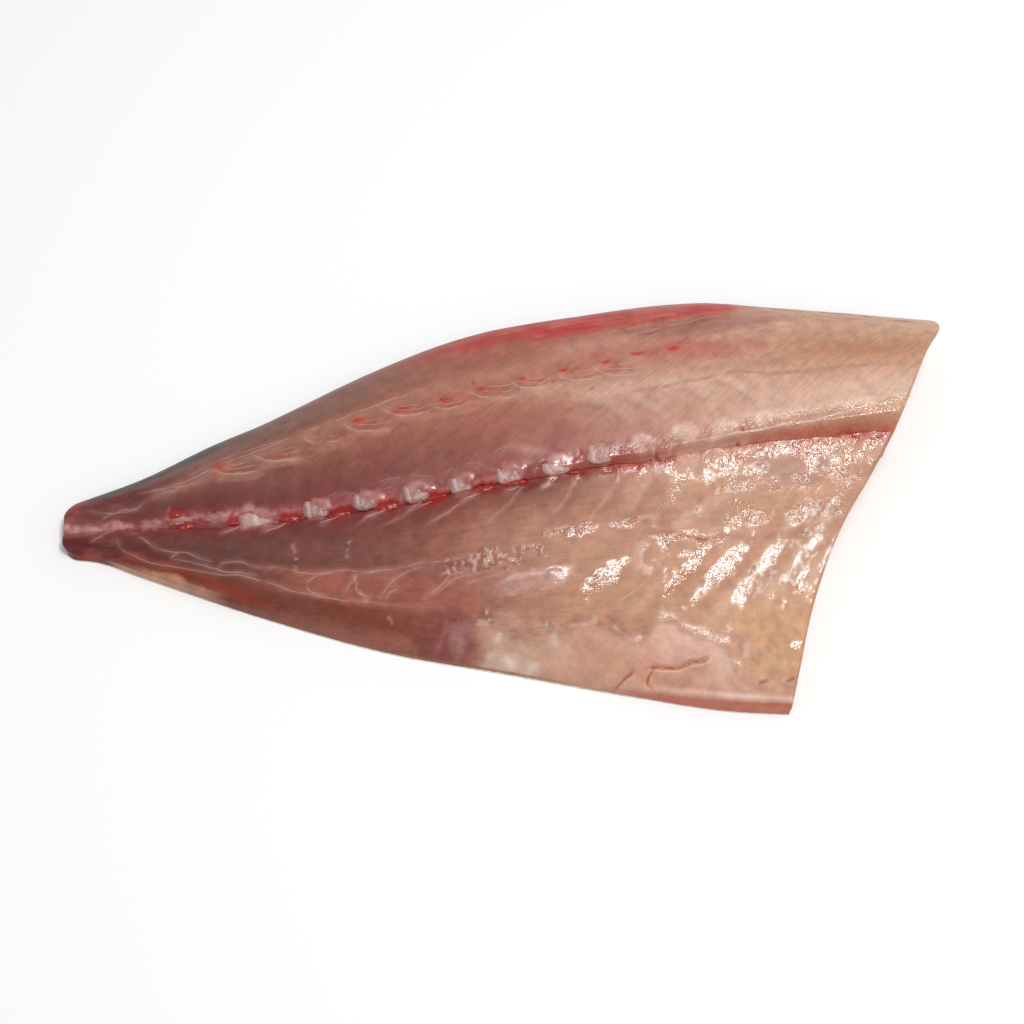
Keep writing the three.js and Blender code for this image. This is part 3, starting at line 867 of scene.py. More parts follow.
# Valleys between the ribs' places, with the depth of each in millimetres.
RIB_VALLEYS = [
    ([(60, 8), (55, 1), (50.5, -6.5), (45, -14.5)], 0.35),
    ([(76, 7), (68, -5), (62, -12.5), (57, -18.5)], 0.6),
    ([(99, 8), (95, -0.5), (85.5, -6), (74.5, -14), (67.5, -20.5)], 0.9),
    ([(97, -28), (90.5, -36), (84, -45), (78, -52.5)], 0.9),
    ([(134, 2), (124, -14), (112.5, -31), (107, -37.5), (102, -43), (98, -47), (90, -55),
      (82.5, -64)], 1.1),
    ([(148, 0), (138, -16), (127, -31.5), (122, -38), (117, -42.5), (111, -50.5), (107, -55)], 1.1),
    ([(152, -14), (144, -25), (137, -33.5), (132.5, -38.5), (128, -46), (121, -57)], 0.8),
    ([(66, -42), (55, -51), (43, -60)], 0.3),
]
# The wettest patches of the membrane, which mirror a lamp and are painted paler as a painted highlight:
# centre, size and turn of each.
GLINT_PATCHES = [((93.5, 5), (6, 5), -60), ((113, 15.5), (13, 2.4), 12), ((130, 18), (9, 2.2), 8),
                 ((148, 19.5), (10, 2.2), 8), ((107, 0), (13, 3), 5), ((135, -12), (14, 6), 5),
                 ((146, -8), (8, 3), 20), ((111, -15), (15, 4), 8), ((84, -36), (22, 3.6), 48),
                 ((99, -37), (21, 5), 47), ((116, -39), (20, 5.5), 48), ((133, -36), (19, 6), 58),
                 ((138, -21), (10, 4), 40), ((148, -30), (12, 3.5), 60), ((76, -24), (12, 3), 20),
                 ((45, -43), (14, 4.5), 40),
                 ((-8, -36), (26, 5), 10), ((30, -22), (14, 4), 10), ((56, -18), (8, 2.4), 15),
                 ((-3, -79), (7, 3), -15), ((-10, -60), (4, 4), 0), ((20, -65), (3, 4), 60),
                 ((130, -72), (4, 2), 0)]
# Where the bare hollow ends and the fatty flap begins, from the tail to the shoulder.
FLAP_EDGE = through([[-30, -54], [-18, -57], [-8, -61], [8, -69], [22, -68], [34, -63.5], [44, -64],
                     [50, -67], [57, -71], [64, -67], [70, -59], [79, -63], [92, -68], [99, -73],
                     [104, -84], [118, -92], [140, -94]])
# Rags of membrane that trail back and down from the stumps: the upper end of each.
MEMBRANE_TEARS = [(-120, -15), (-98, -14), (-75, -12), (-53, -9), (-31, -6), (-10, -3), (8, 0)]
# Pinched folds of the flap's lining, painted pale as a painted highlight, and cracks that show the yellow
# fat under it.
FLAP_FOLDS = [[(-2, -75.5), (1, -77.5), (6, -79)], [(-6, -70.5), (-3.5, -68.5), (-1, -66)],
              [(9, -80.5), (13, -79.5), (15, -77)], [(20, -67), (22, -70), (23, -74)]]
FLAP_CRACKS = [
    [(62, -84), (66, -82), (71, -82), (75, -82.6), (79, -82), (83, -80), (88, -79.4), (92, -77)],
    [(48, -90), (51, -88.5), (54, -86), (58, -83)],
    [(66, -83), (64, -86), (63.5, -89), (66, -91)],
]
# Thin veins where the hollow meets the flap.
VEINS = [[(43, -61), (47, -61), (50, -64), (54, -66.5), (58, -69.5)], [(44, -59), (49, -62)]]
BELLY_NICKS = [[(86, -24), (92, -24.8)], [(112, -89.5), (118, -87.5)], [(125, -88.5), (130, -86.5)]]
BELLY_SPECKS = [(-163, -33.6), (-150, -43), (-132, -48.5), (-94, -46.4), (78, -95)]
# Drops of water stand in rows where the membrane pulls away from the flakes.
DROPLET_LINES = [[(-97.5, -23), (-95, -32), (-95, -38)], [(-72, -15), (-71, -24), (-72, -34)],
                 [(-69, -38), (-66, -47), (-62, -53)], [(-53, -58), (-50, -64)]]
# The rust-red edge of the tail's lower flakes, and the raised rim of a film over the hollow.
RUST_LINE = [(-184, -26), (-170, -28.6), (-156, -31.5), (-142, -37), (-130, -42), (-116, -48),
             (-100, -53)]
FILM_RIM = [(-2, -46), (4, -43.3), (11, -42.6), (17, -42), (21, -39), (27, -40)]
# Broad stains of the flap and the hollow: colour, strength, centre, size, turn and seed.
BELLY_STAINS = [((184, 126, 106), 0.5, (96, -91), (30, 6), -3, 95),
                ((184, 136, 110), 0.6, (97, -77), (22, 10), -3, 94),
                ((170, 120, 96), 0.35, (62, -16), (14, 13), 10, 93)]
# Pale sheets between the flakes in front, each running back and down from a stump.
HOLLOW_SEPTA = [[(32, 8), (28.4, -4.4), (22.6, -13), (14, -21)],
                [(53, 8), (47, -4.4), (40, -14), (30, -24)], [(69.6, 12), (63.7, -0.7), (53, -17)],
                [(14, 4), (6, -3), (-1, -12), (-12, -22)],
                [(-8, 1), (-16, -5), (-27, -13), (-40, -21)],
                [(-30, -3), (-38, -7), (-47, -13), (-60, -20)], [(-52, -8), (-60, -12), (-70, -18)]]
HOLLOW_FOLD = [(54, -24), (64.5, -21.5), (74, -20.5), (88, -23.5), (101, -21.5), (110, -23.8),
               (125, -22.5), (139, -20.5), (150, -19)]


def dress_belly(x, y):
    """Relief in millimetres, colour, gloss, wet beads and fibres of the belly's upper face."""
    place = belly_place(x, y)
    stray_x, stray_y = wandering(x, y)
    wx, wy = x + stray_x, y + stray_y
    patchy = cloud(x, y, 13, 71)
    broad = cloud(x, y, 30, 73)
    tint = colour_along(x + 9 * cloud(x, y, 26, 41), [
        (-204, (108, 46, 46)), (-140, (96, 56, 51)), (-100, (112, 65, 56)), (-60, (122, 70, 59)),
        (-25, (144, 86, 72)), (15, (172, 120, 98)), (60, (180, 130, 106)),
        (100, (190, 142, 114)), (206, (192, 144, 116))])
    # Zones of the tail's flaky muscle, and its rusty and pale lower rim.
    by_root = fall(place, 0.0, 0.34) * fall(x, 10, 75)
    tint = paint(tint, (112, 52, 50), by_root * (0.6 + 0.25 * patchy))
    ashen = bump(place - 0.3, 0.2) * fall(x, -70, -20) * (broad + 0.3)
    tint = paint(tint, (124, 84, 75), 0.25 * ashen)
    low_tail = rise(place, 0.62, 0.8) * fall(x, -52, -30)
    tint = paint(tint, (132, 66, 50), low_tail * (0.6 + 0.3 * patchy))
    low_rim = rise(place, 0.86, 0.97) * between(x, (-125, -95), (-50, -30))
    tint = paint(tint, (156, 104, 88), low_rim * (0.6 + 0.3 * patchy))
    tint = paint(tint, (148, 56, 38), 0.55 * stroke(wx, wy, RUST_LINE, 1.8, 0.12))
    strip_width = np.interp(x, [-186, -172, -160, -150, -138, -124], [0, 0.8, 2.2, 3.4, 2.4, 0])
    strip = fall(y - belly_lip(x) - strip_width + cloud(x, y, 8, 86), -1.5, 1.2)
    strip = strip * between(x, (-186, -176), (-142, -124))
    tint = paint(tint, (186, 136, 108), strip * (0.75 + 0.3 * patchy))
    tail_flakes = between(place, (0.44, 0.56), (0.72, 0.8))
    tail_flakes = tail_flakes * between(x, (-130, -80), (-30, 5))
    tint = paint(tint, (166, 96, 80), 0.65 * tail_flakes * (1 + 0.4 * patchy))
    for points in BELLY_SEPTA:
        tint = paint(tint, (184, 134, 122), 0.22 * stroke(wx, wy, points, 1.3, 0.12))
    # The fatty flap, and blood at the tail stub.
    flap = rise(FLAP_EDGE(x) - y + 1.5 * cloud(x, y, 7, 74), -1, 5) * rise(x, -18, -4)
    tint = paint(tint, (203, 156, 132), 0.88 * flap)
    flushed = flap * rise(patchy, 0, 0.5) * fall(x, 70, 110)
    tint = paint(tint, (196, 128, 110), 0.35 * flushed)
    tint = paint(tint, (88, 32, 32), 0.5 * fall(x, -190, -160) * rise(place, 0.35, 0.7))
    tint = paint(tint, (104, 18, 26), 0.85 * blotch(x, y, (-200, -23), (9, 6.5), 0, 0.4, 87))
    tint = paint(tint, (170, 48, 38), 0.75 * blotch(x, y, (-191, -26), (5, 2.2), -10, 0.4, 88))
    # The bruised, pleated corner of lining between the tail's muscle and the flap.
    maroon = blotch(x, y, (-24, -67), (15.5, 11), 12, 0.35, 75)
    maroon = maroon * fall(x + 0.35 * y + 4 * cloud(x, y, 7, 72), -43, -36)
    tint = paint(tint, (136, 72, 70), 0.75 * maroon)
    pleats = 1.2 * noise(x - 0.45 * y + 1.5 * cloud(x, y, 7, 76), y / 7, 2.0, 76)
    pleated = blotch(x, y, (-30, -68), (7, 9), 0, 0.4, 77)
    tint = paint(tint, (172, 118, 116), 0.4 * pleated * rise(pleats, 0.3, 1))
    tint = paint(tint, (104, 32, 34), 0.5 * pleated * rise(-pleats, 0.4, 1))
    tint = paint(tint, (166, 108, 108), 0.5 * blotch(x, y, (-19, -65), (5, 6), 0, 0.5, 77))
    # Cream, amber and golden fat under the membrane, pitted towards the shoulder.
    cream = blotch(x, y, (8, -71), (30, 12), -10, 0.5, 78)
    tint = paint(tint, (216, 182, 160), 0.34 * cream)
    amber = rise(place, 0.3, 0.45) * rise(y - FLAP_EDGE(x), 0, 5)
    amber = amber * between(x, (10, 40), (78, 100))
    tint = paint(tint, (184, 134, 98), 0.6 * amber)
    gold = rise(x + 0.35 * (y + 80) + 3 * cloud(x, y, 9, 83), 92, 116) * rise(-y, 36, 60)
    gold = gold * fall(-y, 82, 93)
    tint = paint(tint, (198, 148, 106), 0.75 * gold)
    slanted = noise((x + 0.8 * y) / 1.4, (y - 0.8 * x) / 2.6 + cloud(x, y, 8, 84), 1.5, 84)
    pits = gold * rise(slanted, 0.15, 0.7) * rise(-y, 50, 62)
    tint = paint(tint, (184, 122, 80), 0.55 * pits)
    # A darker pink patch below the ribs, painted as the shade of a shallow dip, and a film of lining over
    # the hollow's hind end.
    dip_shade = blotch(x, y, (130, 9), (24, 9), 4, 0.35, 79)
    tint = paint(tint, (162, 112, 100), 0.45 * dip_shade)
    film = blotch(x, y, (14, -45), (18, 6), 12, 0.45, 80)
    tint = paint(tint, (206, 164, 154), 0.5 * film)
    film_rim = stroke(wx, wy, FILM_RIM, 0.9, 0.1)
    tint = paint(tint, (218, 186, 186), 0.55 * film_rim)
    height = 0.45 * cloud(x, y, 22, 2) + 0.12 * cloud(x, y, 6, 8) + 0.3 * film + 0.35 * film_rim
    # Valleys that the cut ribs left, with a pale ridge beside each: browner valleys and paler ridges,
    # partly their own colour and partly painted shade and light.
    ridged, valleys = np.zeros(x.shape), np.zeros(x.shape)
    for points, depth in RIB_VALLEYS:
        wide = stroke(wx, wy, points, 2.6, 0.2) * depth
        beside = stroke(wx - 5.5, wy + 2.5, points, 3.4, 0.25) * depth
        valleys, ridged = np.maximum(valleys, wide), np.maximum(ridged, beside)
    height = height - 0.25 * valleys + 0.12 * ridged - 0.12 * pits
    # Painted shade in the valleys and painted light on the ridges, over their own colours.
    tint = paint(tint, (184, 130, 104), 0.65 * valleys)
    tint = paint(tint, (216, 182, 158), 0.4 * ridged)
    fold = stroke(wx, wy, HOLLOW_FOLD, 1.8, 0.2)
    height = height - 0.3 * fold
    tint = paint(tint, (176, 116, 94), 0.45 * fold * (1 + 0.4 * patchy))
    for points in HOLLOW_SEPTA:
        sheet = stroke(wx, wy, points, 1.1, 0.3)
        tint = paint(tint, (202, 154, 138), 0.3 * sheet)
        tint = paint(tint, (120, 66, 58), 0.16 * stroke(wx - 2.6, wy + 1.2, points, 2.0, 0.3))
        height = height + 0.1 * sheet
    for i, (tear_x, tear_y) in enumerate(MEMBRANE_TEARS):
        long = 0.62 + 0.15 * np.sin(1.9 * i)
        rag = [(tear_x - back * long, tear_y - down)
               for back, down in ((0, -0.6), (6, 1.6), (14, 4.4), (21, 7.4))]
        veil = stroke(wx, wy - 1.4, rag, 1.7, 0.35)
        tint = paint(tint, (186, 134, 130), 0.5 * veil)
        height = height + 0.2 * veil
    for points in FLAP_CRACKS:
        crack = stroke(x, wy, points, 0.6, 0.15)
        above = stroke(x, wy + 1.8, points, 1.6, 0.15)
        # Beside each crack its raised lip is painted pale: a painted highlight on the lip.
        tint = paint(tint, (220, 176, 154), 0.4 * above)
        tint = paint(tint, (176, 88, 50), 0.9 * crack)
        height = height - 0.9 * crack + 0.5 * above
    for colour, strength, centre, size, turn, seed in BELLY_STAINS:
        tint = paint(tint, colour, strength * blotch(x, y, centre, size, turn, 0.5, seed))
    for points in VEINS:
        tint = paint(tint, (150, 92, 96), 0.55 * stroke(x, y, points, 0.6, 0.2))
    height, tint = nicked(x, y, height, tint, BELLY_NICKS, (140, 48, 34), 0.85, 0.6, 0.4)
    # A pale line along the rounded rim of the lip, and the red cut side under it.
    bevel = 1.4 * rise(x, 50, 120)
    inside = y - belly_lip(x) + 0.3 * cloud(x, y, 7, 96)
    lip = bump(inside - bevel - 1.4, 1.3) * rise(x, 45, 75)
    tint = paint(tint, (224, 192, 178), 0.5 * lip)
    cut_side = fall(inside - bevel, -0.5, 0.4) * rise(x, 50, 70)
    tint = paint(tint, (188, 96, 70), 0.85 * cut_side)
    height = height + 0.3 * lip - 1.0 * cut_side
    tint = paint(tint, (218, 192, 176), 0.5 * blotch(x, y, (2, -79), (13, 5), -8, 0.6, 97))
    folds = np.zeros(x.shape)
    for points in FLAP_FOLDS:
        pinched = stroke(wx, wy, points, 1.7, 0.4)
        # The folds are painted nearly white: a painted highlight of their glint.
        tint = paint(tint, (234, 214, 204), 0.5 * pinched)
        height = height + 0.4 * pinched
        folds = np.maximum(folds, pinched)
    height, tint = dress_spine(x, y, height, tint)
    tint = speckled(x, y, tint, BELLY_SPECKS, (64, 36, 30), 0.55)
    flecks = 1 + (0.13 * cloud(x, y, 3.4, 98) + 0.06 * cloud(x, y, 9, 99)) * (1 - 0.6 * flap)
    tint = tint * flecks[..., None]
    # What is wet: the hollow, its glinting patches, rows of drops, and the brim of the flap. Patches, drops
    # and brim are also painted paler, as painted highlight.
    hollow = rise(x + 8 * broad, 50, 85) * rise(y - FLAP_EDGE(x), -1, 5)
    hollow = hollow * (1 - 0.8 * gold * rise(-y, 50, 60))
    mirrored = np.zeros(x.shape)
    for i, (centre, size, turn) in enumerate(GLINT_PATCHES):
        mirrored = np.maximum(mirrored, blotch(x, y, centre, size, turn, 0.5, 90 + i))
    mirrored = mirrored * rise(mirrored + 0.5 * noise(x, y, 2.6, 68), 0.2, 0.8)
    glinting_flecks = rise(noise(x + 0.5 * y, y - 0.5 * x, 1.7, 71), -0.1, 0.6)
    milky = np.maximum((0.5 + 0.25 * rise(x, 105, 130)) * hollow, 0.4 * (1 - flap))
    # Pale flecks painted over the glinting patches: milky membrane, and painted highlight that whitens the
    # lamp's glints.
    tint = paint(tint, (232, 216, 208), milky * mirrored * glinting_flecks)
    drops = np.zeros(x.shape)
    for points in DROPLET_LINES:
        beaded = rise(noise(x, y, 1.7, 70), -0.1, 0.3)
        drops = np.maximum(drops, beaded * stroke(x, y, points, 1.0, 0.1))
    # The drops are painted paler: a painted highlight of their glint.
    tint = paint(tint, (206, 160, 150), 0.4 * drops)
    height = height + 0.4 * bump(y - rib_root(x) + 2, 3) * rise(x, 20, 60) * cloud(x, y, 4, 91)
    brim = bump(y - FLAP_EDGE(x) + 1.5 * cloud(x, y, 6, 89), 3.2) * rise(x, -14, 0)
    brim = brim * fall(x, 95, 110) * rise(noise(x, y, 5, 85), 0, 0.6)
    # The brim is painted paler: a painted highlight along the wet edge of the flap.
    tint = paint(tint, (222, 188, 168), 0.25 * brim)
    height = height + 0.2 * brim
    near_spine = bump(y - rib_root(x), 6) * rise(x, -160, 40)
    sparkling = hollow * rise(cloud(x, y, 4, 69) + 0.4 * broad, 0.15, 0.55)
    behind = fall(x, 55, 80)
    gloss = (0.3 + 0.06 * hollow + 0.7 * mirrored + 0.3 * sparkling + 0.3 * film + 0.12 * flap
             + (0.1 + 0.3 * behind) * near_spine + 0.8 * drops + 0.2 * brim + 0.2 * cream + 0.9 * folds
             - 0.9 * valleys)
    pebble = (0.12 + 0.2 * hollow + (0.22 + 0.25 * behind) * mirrored + 0.3 * sparkling + 0.1 * flap
              + 0.25 * near_spine + 0.7 * drops + 0.5 * brim + 0.4 * cream)
    combed = 1 - 0.9 * flap - 0.6 * gold - 0.4 * rise(x, 0, 60) * (1 - flap)
    return height, tint, rise(gloss, 0.25, 0.7), pebble, np.clip(combed, 0.1, 1)


BELLY_POINTS = 134
belly_grid = grid_xy(belly_lip, rib_root, 0, TAIL_SPINE, BELLY_POINTS)
belly_top = flesh_top(belly_grid, belly_height, dress_belly)
x, y = belly_grid[:2]
belly_top[..., 2] -= rolled(y - belly_lip(x), LIP_ROUNDING)
belly_cut_start = belly_grid[3].min()


def belly_foot_points(x, y, z):
    """Foot of the belly's rim: leaning out under the lip, and slanting inwards at the cut."""
    at_cut = rise(x, belly_cut_start - 3, belly_cut_start) * (x > shoulder_cut(y) - 0.5)
    at_lip = fall(y - belly_lip(x), 0, 4)
    return np.stack([x - CUT_LEAN * z * at_cut, y - WALL_LEAN * at_lip, np.full(x.shape, SKIN)], -1)


belly, depth = closed_mesh("belly_side", belly_top, belly_foot_points, np.zeros(BELLY_POINTS))
x, y, z = vertices_mm(belly)
_, tint, *looks = dress_belly(x, y)
wall = rise(depth, 0.02, 0.16)
tint = paint(tint, (204, 154, 126), 0.7 * wall * rise(x, -120, 60))
tint = paint(tint, (128, 60, 56), 0.7 * wall * fall(x, -180, -60))
# The wall under the lip is red in front, brown in the middle and pale at the tail.
low_wall = wall * fall(y - belly_lip(x), 3, 8)
in_front = rise(x, 30, 75) * (1 + 0.2 * cloud(x, z, 9, 97))
tint = paint(tint, (188, 92, 66), 0.85 * low_wall * in_front)
tint = paint(tint, (150, 88, 74), 0.6 * low_wall * between(x, (-130, -100), (0, 50)))
tint = paint(tint, (200, 152, 124), 0.8 * low_wall * between(x, (-186, -176), (-158, -120)))
finish_flesh(belly, tint, looks, [x, y - 0.15 * x, z])
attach(belly, "root")
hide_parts("fillet")

# ---------------------------------------------------------------------------------------------
# The skin is the fish's own, left on: blue-olive on the back, a brassy stripe along the side and
# silver on the belly, under fine scales. It wraps the back edge of the loin and lies flat below.
# ---------------------------------------------------------------------------------------------

# How far the skin's outer face stands out of the fillet's outline, and its inner face into the flesh.
SKIN_PROUD = 0.25
SKIN_HOLD = 0.2


def flesh_height(x, y):
    return np.where(y > rib_root(x), loin_height(x, y), belly_height(x, y))


def skin_section(x, turn, flat, proud):
    """y and z of the skin at x: turn runs 0 to 90 degrees round the back edge, then flat 0 to 1."""
    rim = loin_height(x, back_edge(x)) - lerp(0.3, 2, rise(x, -150, -60))
    floor_z = 0 if proud > 0 else SKIN + SKIN_HOLD
    round_y = back_edge(x) + proud - (undercut(x) + proud) * (1 - np.cos(turn))
    round_z = rim - (rim - floor_z) * np.sin(turn)
    return lerp(round_y, belly_foot(x) - max(proud, 0), flat), round_z


def foot_line(station):
    """Where the flesh stands on the skin at one of its two cut ends, from the belly to the back."""
    feet = np.vstack([belly_foot_points(*belly_top[station].T), loin_foot(*loin_top[station].T)])
    return feet[np.argsort(feet[:, 1])]


def skin_sheet(proud, stations, round_points, flat_points):
    """A grid of points on the outer face of the skin, or on its inner face where proud < 0."""
    turn = np.concatenate([np.linspace(0, np.pi / 2, round_points), np.full(flat_points, np.pi / 2)])
    flat = np.concatenate([np.zeros(round_points), np.linspace(0, 1, flat_points + 1)[1:]])
    ends = []
    for station in (0, -1):
        feet, corner = foot_line(station), loin_top[station, -1, 0]
        end = lerp(corner, feet[-1, 0], 1 - np.cos(turn))
        for _ in range(12):
            y = skin_section(end, turn, flat, proud)[0]
            end = np.where(flat > 0, np.interp(y, feet[:, 1], feet[:, 0]), end)
        ends.append(end)
    x = lerp(ends[0], ends[1], np.linspace(0, 1, stations)[:, None])
    return np.stack([x, *skin_section(x, turn, flat, proud)], -1)


def skin_shell(name, stations, round_points, flat_points):
    """The closed shell of the skin: its outer and inner face, joined along every edge."""
    outer = skin_sheet(SKIN_PROUD, stations, round_points, flat_points)
    inner = skin_sheet(-SKIN_HOLD, stations, round_points, flat_points)
    ring = np.concatenate([outer, inner[:, ::-1]], 1)
    count = ring.shape[1]
    ids = np.arange(stations * count).reshape(stations, count)
    beside = np.roll(ids, -1, 1)
    faces = np.stack([ids[:-1], ids[1:], beside[1:], beside[:-1]], -1).reshape(-1, 4).tolist()
    half = count // 2
    for end in (0, stations - 1):
        out, back = ids[end, :half], ids[end, :half - 1:-1]
        faces += np.stack([out[:-1], out[1:], back[1:], back[:-1]], -1).tolist()
    mesh = bpy.data.meshes.new(name)
    mesh.from_pydata((ring.reshape(-1, 3) / 1000).tolist(), [], faces)
    work = bmesh.new()
    work.from_mesh(mesh)
    bmesh.ops.recalc_face_normals(work, faces=work.faces)
    work.to_mesh(mesh)
    work.free()
    mesh.shade_smooth()
    mesh.set_sharp_from_angle(angle=np.radians(50))
    return placed(name, mesh)


# Colours of the skin from the belly (0) by way of the brassy stripe to the back (1).
FLANK_COLOURS = [(0.0, (226, 226, 220)), (0.3, (196, 200, 198)), (0.46, (168, 172, 166)),
                 (0.505, (186, 160, 92)), (0.55, (150, 140, 96)), (0.6, (96, 108, 106)),
                 (0.78, (58, 74, 78)), (1.0, (40, 50, 54))]


def skin_material():
    """Fish skin: colour from the back to the belly, under small overlapping scales."""
    material, tree, surface = new_material("yellowtail skin")
    scaly = attribute(tree, "scaly", "Vector")
    flank = maths(tree, "SUBTRACT", attribute(tree, "flank"), 0.06)
    wavering = maths(tree, "MULTIPLY_ADD", speckle(tree, scaly, 0.05, 3.0), 0.12, flank)
    ramp = node(tree, "ShaderNodeValToRGB", {"Fac": wavering})
    elements = ramp.color_ramp.elements
    for place, _ in FLANK_COLOURS[1:-1]:
        elements.new(place)
    for element, (_, colour) in zip(elements, FLANK_COLOURS):
        element.color = (*linear(*colour), 1)
    scales = node(tree, "ShaderNodeTexVoronoi", {"Vector": scaly, "Scale": 0.62}).outputs["Distance"]
    shade = maths(tree, "MULTIPLY_ADD", scales, -0.35, 1.12)
    fill(surface, {"Base Color": mixed(tree, "MULTIPLY", 1.0, ramp.outputs["Color"], shade),
                   "Roughness": maths(tree, "MULTIPLY_ADD", scales, 0.2, 0.24),
                   "Normal": relief(tree, scales, 0.6, 0.0003), "Metallic": 0.25, "IOR": 1.45})
    return material


skin = skin_shell("fillet_skin", 260, 22, 64)
x, y, z = vertices_mm(skin)
above = (y - spine_line(x)) / (back_edge(x) - spine_line(x))
below = (y - spine_line(x)) / (spine_line(x) - belly_foot(x))
store(skin, "flank", 0.5 + 0.5 * np.where(above > 0, above, below))
store(skin, "scaly", np.stack([x, y + z, 0 * z], -1))
skin.data.materials.append(skin_material())
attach(skin, "root")
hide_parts("fillet")

# ---------------------------------------------------------------------------------------------
# The vertebra stumps are the sliced sides of the backbone's joints, left in the flesh: squat
# blocks of gristle with a bluish white plate at one end, sunk deeper towards the shoulder.
# Geometry Nodes set one rounded block on each point of the spine line.
# ---------------------------------------------------------------------------------------------


def group_tree(name, inputs):
    """An empty Geometry Nodes tree with named inputs, and the sockets that they arrive on."""
    tree = bpy.data.node_groups.new(name, "GeometryNodeTree")
    tree.interface.new_socket("Geometry", in_out="INPUT", socket_type="NodeSocketGeometry")
    tree.interface.new_socket("Geometry", in_out="OUTPUT", socket_type="NodeSocketGeometry")
    for label, kind in inputs:
        tree.interface.new_socket(label, in_out="INPUT", socket_type=kind)
    return tree, node(tree, "NodeGroupInput").outputs


def named(tree, label, kind="FLOAT"):
    return node(tree, "GeometryNodeInputNamedAttribute", {"Name": label}, data_type=kind).outputs[0]


def finished(tree, geometry, material):
    """Ends a tree in real, smooth geometry of one material."""
    smooth = node(tree, "GeometryNodeSetShadeSmooth", {"Geometry": geometry}).outputs[0]
    real = node(tree, "GeometryNodeRealizeInstances", {"Geometry": smooth}).outputs[0]
    painted = node(tree, "GeometryNodeSetMaterial", {"Geometry": real, "Material": material})
    node(tree, "NodeGroupOutput", {"Geometry": painted.outputs[0]})
    return tree


def scattered_blocks():
    """Sets a rounded block at each point, scaled and turned by the point's attributes."""
    tree, given = group_tree("rounded blocks on points", [
        ("Squareness", "NodeSocketFloat"), ("Raggedness", "NodeSocketFloat"),
        ("Lump size", "NodeSocketFloat"), ("Seed", "NodeSocketFloat"), ("Material", "NodeSocketMaterial")])
    ball = node(tree, "GeometryNodeMeshIcoSphere", {"Radius": 1.0, "Subdivisions": 5}).outputs["Mesh"]
    place = node(tree, "GeometryNodeInputPosition").outputs["Position"]
    side = vector_maths(tree, "SIGN", {0: place})
    far = vector_maths(tree, "ABSOLUTE", {0: place})
    powers = node(tree, "ShaderNodeCombineXYZ",
                  {"X": given["Squareness"], "Y": given["Squareness"], "Z": 1.0})
    squared = vector_maths(tree, "POWER", {0: far, 1: powers.outputs[0]})
    block = vector_maths(tree, "MULTIPLY", {0: squared, 1: side})
    shaped = node(tree, "GeometryNodeSetPosition", {"Geometry": ball, "Position": block})
    local = node(tree, "GeometryNodeStoreNamedAttribute",
                 {"Geometry": shaped.outputs[0], "Name": "local", "Value": place},
                 data_type="FLOAT_VECTOR", domain="POINT")
    instances = node(tree, "GeometryNodeInstanceOnPoints",
                     {"Points": given["Geometry"], "Instance": local.outputs[0],
                      "Rotation": named(tree, "turn", "FLOAT_VECTOR"),
                      "Scale": named(tree, "size", "FLOAT_VECTOR")})
    real = node(tree, "GeometryNodeRealizeInstances", {"Geometry": instances.outputs[0]})
    lumps = node(tree, "ShaderNodeTexNoise",
                 {"Vector": node(tree, "GeometryNodeInputPosition").outputs[0], "W": given["Seed"],
                  "Scale": maths(tree, "DIVIDE", 1.0, given["Lump size"]), "Detail": 3.0},
                 noise_dimensions="4D")
    most = maths(tree, "MULTIPLY", given["Raggedness"], 2.0)
    normal = node(tree, "GeometryNodeInputNormal").outputs["Normal"]
    push = vector_maths(tree, "SCALE", {0: normal, "Scale": swing(tree, lumps.outputs["Fac"], most, 0.0)})
    ragged = node(tree, "GeometryNodeSetPosition", {"Geometry": real.outputs[0], "Offset": push})
    return finished(tree, ragged.outputs[0], given["Material"])


def grown(name, tree, points, edges, values, settings):
    """A plain mesh piece from a tree run on points in millimetres, joined by edges if any."""
    mesh = bpy.data.meshes.new(name + " places")
    mesh.from_pydata((np.array(points) / 1000).tolist(), edges, [])
    base = placed(name + " places", mesh)
    for label, numbers in values.items():
        store(base, label, numbers)
    modifier = base.modifiers.new("grow", "NODES")
    modifier.node_group = tree
    for item in tree.interface.items_tree:
        if item.in_out == "INPUT" and item.name in settings:
            modifier[item.identifier] = settings[item.name]
    graph = bpy.context.evaluated_depsgraph_get()
    made = bpy.data.meshes.new_from_object(
        base.evaluated_get(graph), preserve_all_data_layers=True, depsgraph=graph)
    base.modifiers.clear()
    bpy.data.objects.remove(base)
    made.name = name
    return placed(name, made)


